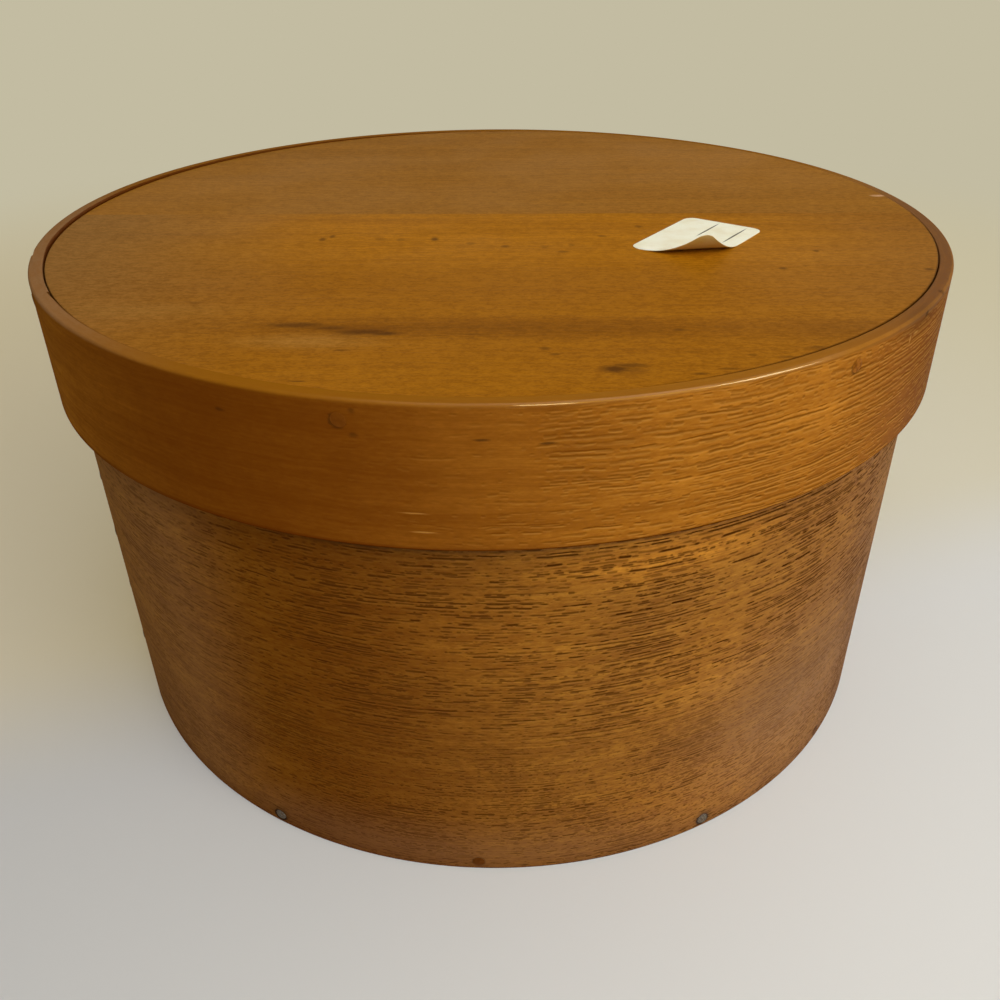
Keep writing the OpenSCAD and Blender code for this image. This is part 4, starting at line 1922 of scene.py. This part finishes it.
@dataclass
class BoxLid:
    """The lid: the low band, its two boards, the pegs and tacks, and the paper label."""

    band: RoundNode = field(default_factory=lambda: RoundNode.of("lid_band"))
    board: RoundNode = field(default_factory=lambda: RoundNode.of("lid_board_front"))
    rim_round: float = 0.9 * MM
    edge_round: float = 0.4 * MM
    board_round: float = 0.3 * MM
    tack_count: int = 2
    peg_start: float = math.radians(-62.9)
    peg_step: float = math.radians(49.6)
    pegs_in_board: int = 3
    low_edge: Waves = Waves(((1, 0.5, 110), (2, 0.4, 120)))
    high_edge: Waves = Waves(((0, -0.22, 0), (1, -0.3, 125), (2, -0.08, 250)))
    low_bulge: Waves = Waves(((0, 0.6, 0), (1, 0.25, 90), (2, 0.4, 180)))
    board_bulge: Waves = Waves(((1, 0.12, 140),))
    label: PaperLabel = PaperLabel()
    parts: dict[str, bpy.types.Object] = field(default_factory=dict)

    @property
    def strip(self) -> Strip:
        """The bent strip."""
        return Strip(
            self.board.radius + BOARD_GAP,
            self.band.radius,
            self.band.low,
            self.band.high,
            self.rim_round,
            self.edge_round,
            Lap(),
            low_bulge=self.low_bulge,
            low_edge=self.low_edge,
            high_edge=self.high_edge,
        )

    @property
    def warp(self) -> BoardWarp:
        """The set of the boards, which lie flush at the right and deeper at the left."""
        return BoardWarp(0.4 * MM, math.radians(80), -0.25 * MM, self.board.radius)

    @property
    def pegs(self) -> tuple[Array, Array]:
        """Places and heights of the pegs, the same number in each board."""
        steps = self.peg_start + self.peg_step * np.arange(self.pegs_in_board)
        places = np.concatenate([steps, steps + math.pi])
        return places, np.full(places.size, (self.board.low + self.board.high) / 2)

    def build(self) -> None:
        """Builds the meshes of the band, the boards, the pegs, the tacks and the label."""
        strip = self.strip
        self.parts["band"] = strip.build("lid_oak_band")
        for name, start in (("front", -math.pi / 2), ("back", math.pi / 2)):
            half = RoundBoard(
                self.board,
                self.board_round,
                start + JOINT_TURN,
                math.pi,
                self.warp,
                self.board_bulge,
                steps=180,
            )
            self.parts[name] = half.build(f"lid_{name}_board")
        places, heights = self.pegs
        seats = strip.outer + strip.bulge(places, heights) - PEG_SINK
        self.parts["pegs"] = PEG.build("lid_peg_ring", seats, places, heights, seed=21)
        places, heights = tack_row(strip, self.band.low, self.board.low, self.tack_count)
        seats = strip.outer + strip.bulge(places, heights)
        self.parts["tacks"] = clinched(strip).build("lid_lap_tacks", seats, places, heights, seed=22)
        self.parts["label"] = self.label.build("curled_label", self.warp, self.board.high)

    def oak(self) -> OakFinish:
        """The band's finish: smooth, and darker and redder at the left as painted shade, with wavering lines
        in relief at the right.

        Returns:
            The finish.
        """
        # A dark ring round each peg, shifted to the lower left
        rings = pin_marks(PEG, self.strip, *self.pegs, 0.5, 0.5, (-0.3, -0.2))
        flecks = spots(
            (-71.9, 172.0, 2.2, 0.8, 0.4), (-34.6, 177.0, 1.3, 1.1, 0.35), (-34.7, 170.4, 1.7, 1.1, 0.35),
            (13.0, 169.2, 3.0, 0.5, 0.6), (-3.2, 170.5, 3.0, 0.5, 0.6),
            (140.0, 178.0, 22.0, 6.0, 0.32, 1.0, 0.3), (144.0, 178.2, 2.4, 1.8, 0.65),
            (161.0, 179.8, 2.2, 1.8, 0.5),
        )
        scratches = spots(
            (-21.0, 148.9, 5.0, 0.3, 0.6), (-18.7, 143.2, 4.5, 0.35, 0.7), (133.4, 173.6, 0.8, 2.0, 0.5),
            (137.0, 174.6, 2.4, 0.6, 0.55),
        )
        return OakFinish(
            "lid_oak_varnish",
            Slot.LID_OAK,
            roughness=0.42,
            light=srgb(200, 130, 38),
            dark=srgb(142, 84, 16),
            pore=srgb(104, 54, 6),
            # Painted highlight beside the pores
            pore_highlight=srgb(210, 150, 62),
            shaded=srgb(98, 42, 1),
            worn=srgb(186, 124, 44),
            rim=srgb(150, 95, 18),
            bare_from=9.0,
            row_step=1.7,
            dash_length=8.0,
            dash_width=0.66,
            fullness=(0.24, 0.6),
            pore_waver=3.5,
            pore_strength=(0.3, 0.8),
            pore_relief=0.2,
            pore_highlight_strength=(-0.05, 0.42),
            line_length=34.0,
            line_width=0.9,
            line_strength=(0.3, 0.4),
            line_relief=0.06,
            mottle=0.5,
            waver=3.0,
            polish=1.0,
            sheen=(0.01, 0.12),
            # Painted shade along the lower edge
            foot_darkening=0.5,
            foot_darkening_height=0.9,
            radius=self.band.radius / MM,
            low=self.band.low / MM,
            top=self.band.high / MM,
            # Painted shade at the left and at the right end
            patches=spots(
                (-68.0, 158.0, 136.0, 900.0, 0.76, 0.95, 0.1),
                (-250.0, 158.0, 140.0, 900.0, 0.62, 0.9, 0.1),
                (195.0, 158.0, 110.0, 900.0, 0.8, 0.8, 0.1),
            ),
            stains=rings + flecks,
            scratches=scratches,
        )

    def front_board(self) -> BoardFinish:
        """The front board's finish: orange near the joint, browner at the front, with flecks and a knot.

        Returns:
            The finish.
        """
        flecks = spots(
            (-59.4, -33.0, 1.9, 3.2, 0.6), (-56.4, -29.2, 1.5, 2.4, 0.6), (-38.4, -32.8, 3.2, 2.2, 0.35),
            (-31.2, -33.4, 2.4, 2.4, 0.45), (-19.0, -32.8, 2.0, 3.2, 0.75), (-5.8, -38.0, 2.2, 2.6, 0.4),
            (6.3, -41.5, 2.3, 2.4, 0.5), (19.9, -42.0, 2.2, 2.4, 0.3), (29.4, -39.7, 1.6, 2.2, 0.35),
            (40.9, -29.6, 2.6, 1.8, 0.5), (26.4, -47.6, 3.4, 1.6, 0.5), (54.9, -17.7, 2.0, 2.4, 0.5),
            (97.0, -65.2, 2.0, 1.7, 0.6), (112.3, -47.0, 1.6, 1.7, 0.6), (143.3, -66.0, 2.2, 1.7, 0.65),
            (19.3, -130.6, 2.2, 1.6, 0.55), (21.9, -134.4, 2.0, 1.2, 0.45), (63.8, -53.2, 2.6, 1.1, 0.35),
        )
        streak = spots(
            (-51.0, -114.4, 12.0, 2.8, 0.65), (-41.0, -116.4, 8.0, 2.2, 0.45),
            (-31.5, -119.4, 11.0, 2.6, 0.65), (-25.0, -120.6, 5.5, 2.2, 0.7),
        )
        knot = spots(
            (39.5, -143.2, 9.0, 5.0, 0.45, 1.0), (37.2, -143.6, 6.2, 3.4, 0.85, 0.9),
            (41.2, -141.4, 6.0, 1.9, 0.65, 0.8),
        )
        smudges = spots(
            (58.0, -146.3, 3.2, 0.9, 0.6), (66.0, -143.2, 3.6, 0.9, 0.45), (73.3, -134.6, 2.0, 1.0, 0.45),
            (82.0, -135.8, 3.0, 1.4, 0.4), (92.0, -129.6, 5.0, 2.0, 0.4), (56.9, -117.4, 3.0, 1.3, 0.5),
            (58.3, -132.5, 3.0, 0.9, 0.3), (-35.4, -132.2, 3.0, 0.9, 0.5), (-42.7, -151.5, 3.4, 0.7, 0.6),
            (-1.3, -120.8, 5.0, 0.6, 0.5), (-85.6, -96.8, 3.0, 0.7, 0.5),
        )
        return BoardFinish(
            "lid_front_board_varnish",
            Slot.LID_PINE,
            marks=flecks + streak + knot + smudges,
            # Painted shade with a greyish reflection at both ends of the board, strongest at the left
            patches=spots(
                (-165.0, -50.0, 120.0, 300.0, 0.85, 1.0, 0.1),
                (165.0, -60.0, 120.0, 300.0, 0.3, 1.0, 0.1),
            ),
            # Darker bands across the board; the last spot is painted shade at its right end
            darkenings=spots(
                (10.0, -116.0, 130.0, 12.0, 0.75, 1.0, 0.4), (-30.0, -117.0, 34.0, 8.0, 1.0, 1.0, 0.4),
                (101.0, -116.0, 40.0, 12.0, 0.6, 1.0, 0.3), (178.0, -60.0, 80.0, 300.0, 0.6, 1.0, 0.1),
            ),
            pales=spots((-46.0, -126.0, 30.0, 8.0, 0.4, 1.0), (-100.0, -104.0, 40.0, 10.0, 0.25, 1.0)),
            shade_from=-48.0,
            shade_to=-78.0,
            shade=0.65,
            bare_below=self.board.high / MM - 3,
        )

    def back_board(self) -> BoardFinish:
        """The back board's finish, a greyer brown.

        Returns:
            The finish.
        """
        return BoardFinish(
            "lid_back_board_varnish",
            Slot.LID_PINE,
            light=srgb(178, 119, 38),
            dark=srgb(154, 102, 33),
            shaded=srgb(156, 103, 38),
            pale=srgb(212, 162, 122),
            marks=spots((0.3, 32.1, 1.8, 0.6, 0.5), (67.4, 20.9, 1.8, 0.6, 0.5)),
            pales=spots((155.4, 25.2, 3.4, 1.9, 1.0, 0.5)),
            gap_dark=(0.0, 0.3),
            bare_below=self.board.high / MM - 3,
        )

    def dress(self) -> None:
        """Dresses every piece."""
        peg = PegFinish("lid_peg_end_grain", Slot.PEG_WOOD)
        paper = PaperFinish("label_cream_paper", Slot.LABEL_PAPER, roughness=0.6)
        dress(self.parts["band"], self.oak(), Body.LID, "lid_band")
        dress(self.parts["front"], self.front_board(), Body.LID, "lid_board_front")
        dress(self.parts["back"], self.back_board(), Body.LID, "lid_board_back")
        dress(self.parts["pegs"], peg, Body.LID, "lid_pegs")
        dress(self.parts["tacks"], TACK_IRON, Body.LID, "lid_seam_tacks")
        dress(self.parts["label"], paper, Body.LID, "paper_label")


def direction(place: float, elevation: float) -> Vector:
    """The direction towards a place p round the box and an elevation e: (sin p cos e, -cos p cos e, sin e).

    Args:
        place: angle from the front.
        elevation: angle from the level.

    Returns:
        The direction, of length 1.
    """
    level = math.cos(elevation)
    return Vector((math.sin(place) * level, -math.cos(place) * level, math.sin(elevation)))


@dataclass(frozen=True)
class AreaLamp:
    """A soft lamp that faces the middle of the box."""

    name: str
    place: float
    elevation: float
    distance: float
    width: float
    height: float
    power: float
    colour: tuple[float, float, float] = (1.0, 1.0, 1.0)
    lights: bool = True
    mirrored: bool = True

    def build(self, target: Vector) -> None:
        """Adds the lamp.

        Args:
            target: the point that it faces.
        """
        light = bpy.data.lights.new(self.name, "AREA")
        light.shape = "RECTANGLE"
        light.size = self.width
        light.size_y = self.height
        light.energy = self.power
        light.color = self.colour
        towards = direction(math.radians(self.place), math.radians(self.elevation))
        lamp = bpy.data.objects.new(self.name, light)
        lamp.location = target + towards * self.distance
        lamp.rotation_euler = towards.to_track_quat("Z", "Y").to_euler()
        lamp.visible_camera = False
        lamp.visible_diffuse = self.lights
        lamp.visible_glossy = self.mirrored
        bpy.context.scene.collection.objects.link(lamp)


@dataclass(frozen=True)
class Camera:
    """The camera of the photograph, found from the outlines of the box."""

    place: tuple[float, float, float] = (0.0, -0.3589, 0.2772)
    yaw: float = 0.0062
    pitch: float = 0.5684
    roll: float = -0.0099
    lens: float = 33.03
    sensor_width: float = 36.0
    nearest: float = 0.01

    def build(self) -> None:
        """Adds the camera: it looks along its yaw and down by its pitch, and leans by its roll."""
        ahead = -direction(-self.yaw, self.pitch)
        level = Vector((math.cos(self.yaw), -math.sin(self.yaw), 0))
        upright = level.cross(ahead)
        right = math.cos(self.roll) * level + math.sin(self.roll) * upright
        up = -math.sin(self.roll) * level + math.cos(self.roll) * upright
        camera = bpy.data.cameras.new("camera")
        camera.lens = self.lens
        camera.sensor_width = self.sensor_width
        camera.clip_start = self.nearest
        seen = bpy.data.objects.new("camera", camera)
        turn = Matrix((right, up, -ahead)).transposed().to_4x4()
        seen.matrix_world = Matrix.Translation(self.place) @ turn
        bpy.context.scene.collection.objects.link(seen)
        bpy.context.scene.camera = seen


@dataclass(frozen=True)
class Studio:
    """A plain pale floor, a pale surround and soft lamps."""

    floor_half: float = 6.0
    floor_roughness: float = 0.7
    floor_colour: Colour = srgb(224, 223, 218)
    floor_glow: Colour = srgb(226, 224, 219)
    # Painted shade on the floor to the left of the box
    floor_shade_left: Colour = srgb(142, 141, 144)
    floor_far: Colour = srgb(222, 205, 150)
    # Painted shade on the warm floor behind the box, at its left
    floor_far_shade_left: Colour = srgb(200, 176, 112)
    clear_radius: float = 0.157
    left_from: float = -0.35
    left_to: float = 0.2
    behind_from: float = -0.085
    behind_to: float = 0.02
    behind_slope: float = -0.3
    backdrop: Colour = srgb(195, 188, 162)
    ambient: Colour = srgb(214, 209, 198)
    ambient_strength: float = 0.3
    fade_from: float = 0.2
    fade_to: float = 1.0
    fade_least: float = 0.35
    lamp_target: tuple[float, float, float] = (0.0, 0.0, 0.09)
    lamps: tuple[AreaLamp, ...] = (
        AreaLamp("key", 36, 38, 0.95, 0.6, 0.6, 5.0, mirrored=False),
        AreaLamp("top", 20, 84, 2.1, 2.4, 2.4, 16.0),
        AreaLamp("strip", 67, 34, 1.6, 0.55, 0.6, 15.5, (1.0, 0.86, 0.5), lights=False),
        AreaLamp("faint_strip", 36, 34, 1.6, 1.0, 0.3, 5.6, (1.0, 0.64, 0.08), lights=False),
        AreaLamp("first_strip", 12, 34, 1.6, 0.3, 0.5, 11.0, (1.0, 0.76, 0.34), lights=False),
        AreaLamp("under", 0, -90, 0.7, 0.24, 0.24, 1.8, mirrored=False),
    )

    def build(self) -> None:
        """Adds the floor, the surround and the lamps."""
        half = self.floor_half
        corners = [(-half, -half, 0), (half, -half, 0), (half, half, 0), (-half, half, 0)]
        mesh = bpy.data.meshes.new("floor")
        mesh.from_pydata(corners, [], [(0, 1, 2, 3)])
        floor = bpy.data.objects.new("floor", mesh)
        bpy.context.scene.collection.objects.link(floor)
        mesh.materials.append(self.floor_material())
        self.surround()
        for lamp in self.lamps:
            lamp.build(Vector(self.lamp_target))

    def surround(self) -> None:
        """Sets the world: a pale backdrop to the camera and to reflections, and a low even light."""
        world = bpy.data.worlds.new("surround")
        bpy.context.scene.world = world
        world.use_nodes = True
        graph = Graph(world.node_tree)
        even = world.node_tree.nodes["Background"]
        even.inputs["Color"].default_value = self.ambient
        even.inputs["Strength"].default_value = self.ambient_strength
        shown = graph.node("Background")
        shown.inputs["Color"].default_value = self.backdrop
        mix = self.mixed(graph, self.seen(graph), even.outputs[0], shown.outputs[0])
        graph.feed(world.node_tree.nodes["World Output"].inputs["Surface"], mix)

    def floor_material(self) -> bpy.types.Material:
        """The floor's pale matt surface, which passes into the backdrop.

        It is warmer behind the box, painted darker to its left as shade, and clear from below and under the
        box.

        Returns:
            The material.
        """
        material = bpy.data.materials.new("pale_floor")
        material.use_nodes = True
        graph = Graph(material.node_tree)
        shader = material.node_tree.nodes["Principled BSDF"]
        shader.inputs["Base Color"].default_value = self.floor_colour
        shader.inputs["Roughness"].default_value = self.floor_roughness
        point = graph.result("TexCoord", output="Object")
        away = graph.length(point)
        x, y, _ = graph.split(point)
        aside = graph.span(x, self.left_from, self.left_to)
        behind = graph.span(x * self.behind_slope + y, self.behind_from, self.behind_to)
        tint = graph.layered(
            self.floor_shade_left,
            (aside, self.floor_glow),
            (behind, graph.blend(aside, self.floor_far_shade_left, self.floor_far)),
            (graph.span(away, self.fade_from, self.fade_to), self.backdrop),
        )
        far = graph.result("Emission", tint)
        fade = graph.span(away, self.fade_from, self.fade_to, self.fade_least) * self.seen(graph)
        pale = self.mixed(graph, fade, shader.outputs[0], far)
        below = graph.node("NewGeometry").outputs["Backfacing"]
        clear = graph.math("MAXIMUM", below, graph.math("LESS_THAN", away, self.clear_radius))
        shown = self.mixed(graph, clear, pale, graph.result("BsdfTransparent"))
        graph.feed(material.node_tree.nodes["Material Output"].inputs["Surface"], shown)
        return material

    def seen(self, graph: Graph) -> Wire:
        """Picks the rays that show a surface as it looks, and not the ones that only carry its light.

        Args:
            graph: graph to add to.

        Returns:
            1 for rays from the camera, from a mirror or through a clear surface.
        """
        path = graph.node("LightPath").outputs
        straight = graph.math("MAXIMUM", path["Is Camera Ray"], path["Is Glossy Ray"])
        return graph.math("MAXIMUM", straight, path["Is Transmission Ray"])

    def mixed(self, graph: Graph, mask: Value, first: Value, second: Value) -> Wire:
        """Mixes two shaders: a mask of 0 keeps the first, 1 gives the second."""
        return graph.result("MixShader", mask, first, second)


def main() -> None:
    """Builds the camera, the shared effects, the box, its lid and the studio."""
    logging.basicConfig(level=logging.INFO, format="%(name)s: %(message)s")
    bpy.context.scene.view_settings.view_transform = "Standard"
    Camera().build()
    for make in (make_oak_pores, make_wood_tone, make_edge_wear, make_spot):
        make()
    for assembly in (BoxBody(), BoxLid()):
        assembly.build()
        assembly.dress()
    Studio().build()


if __name__ == "__main__":
    main()
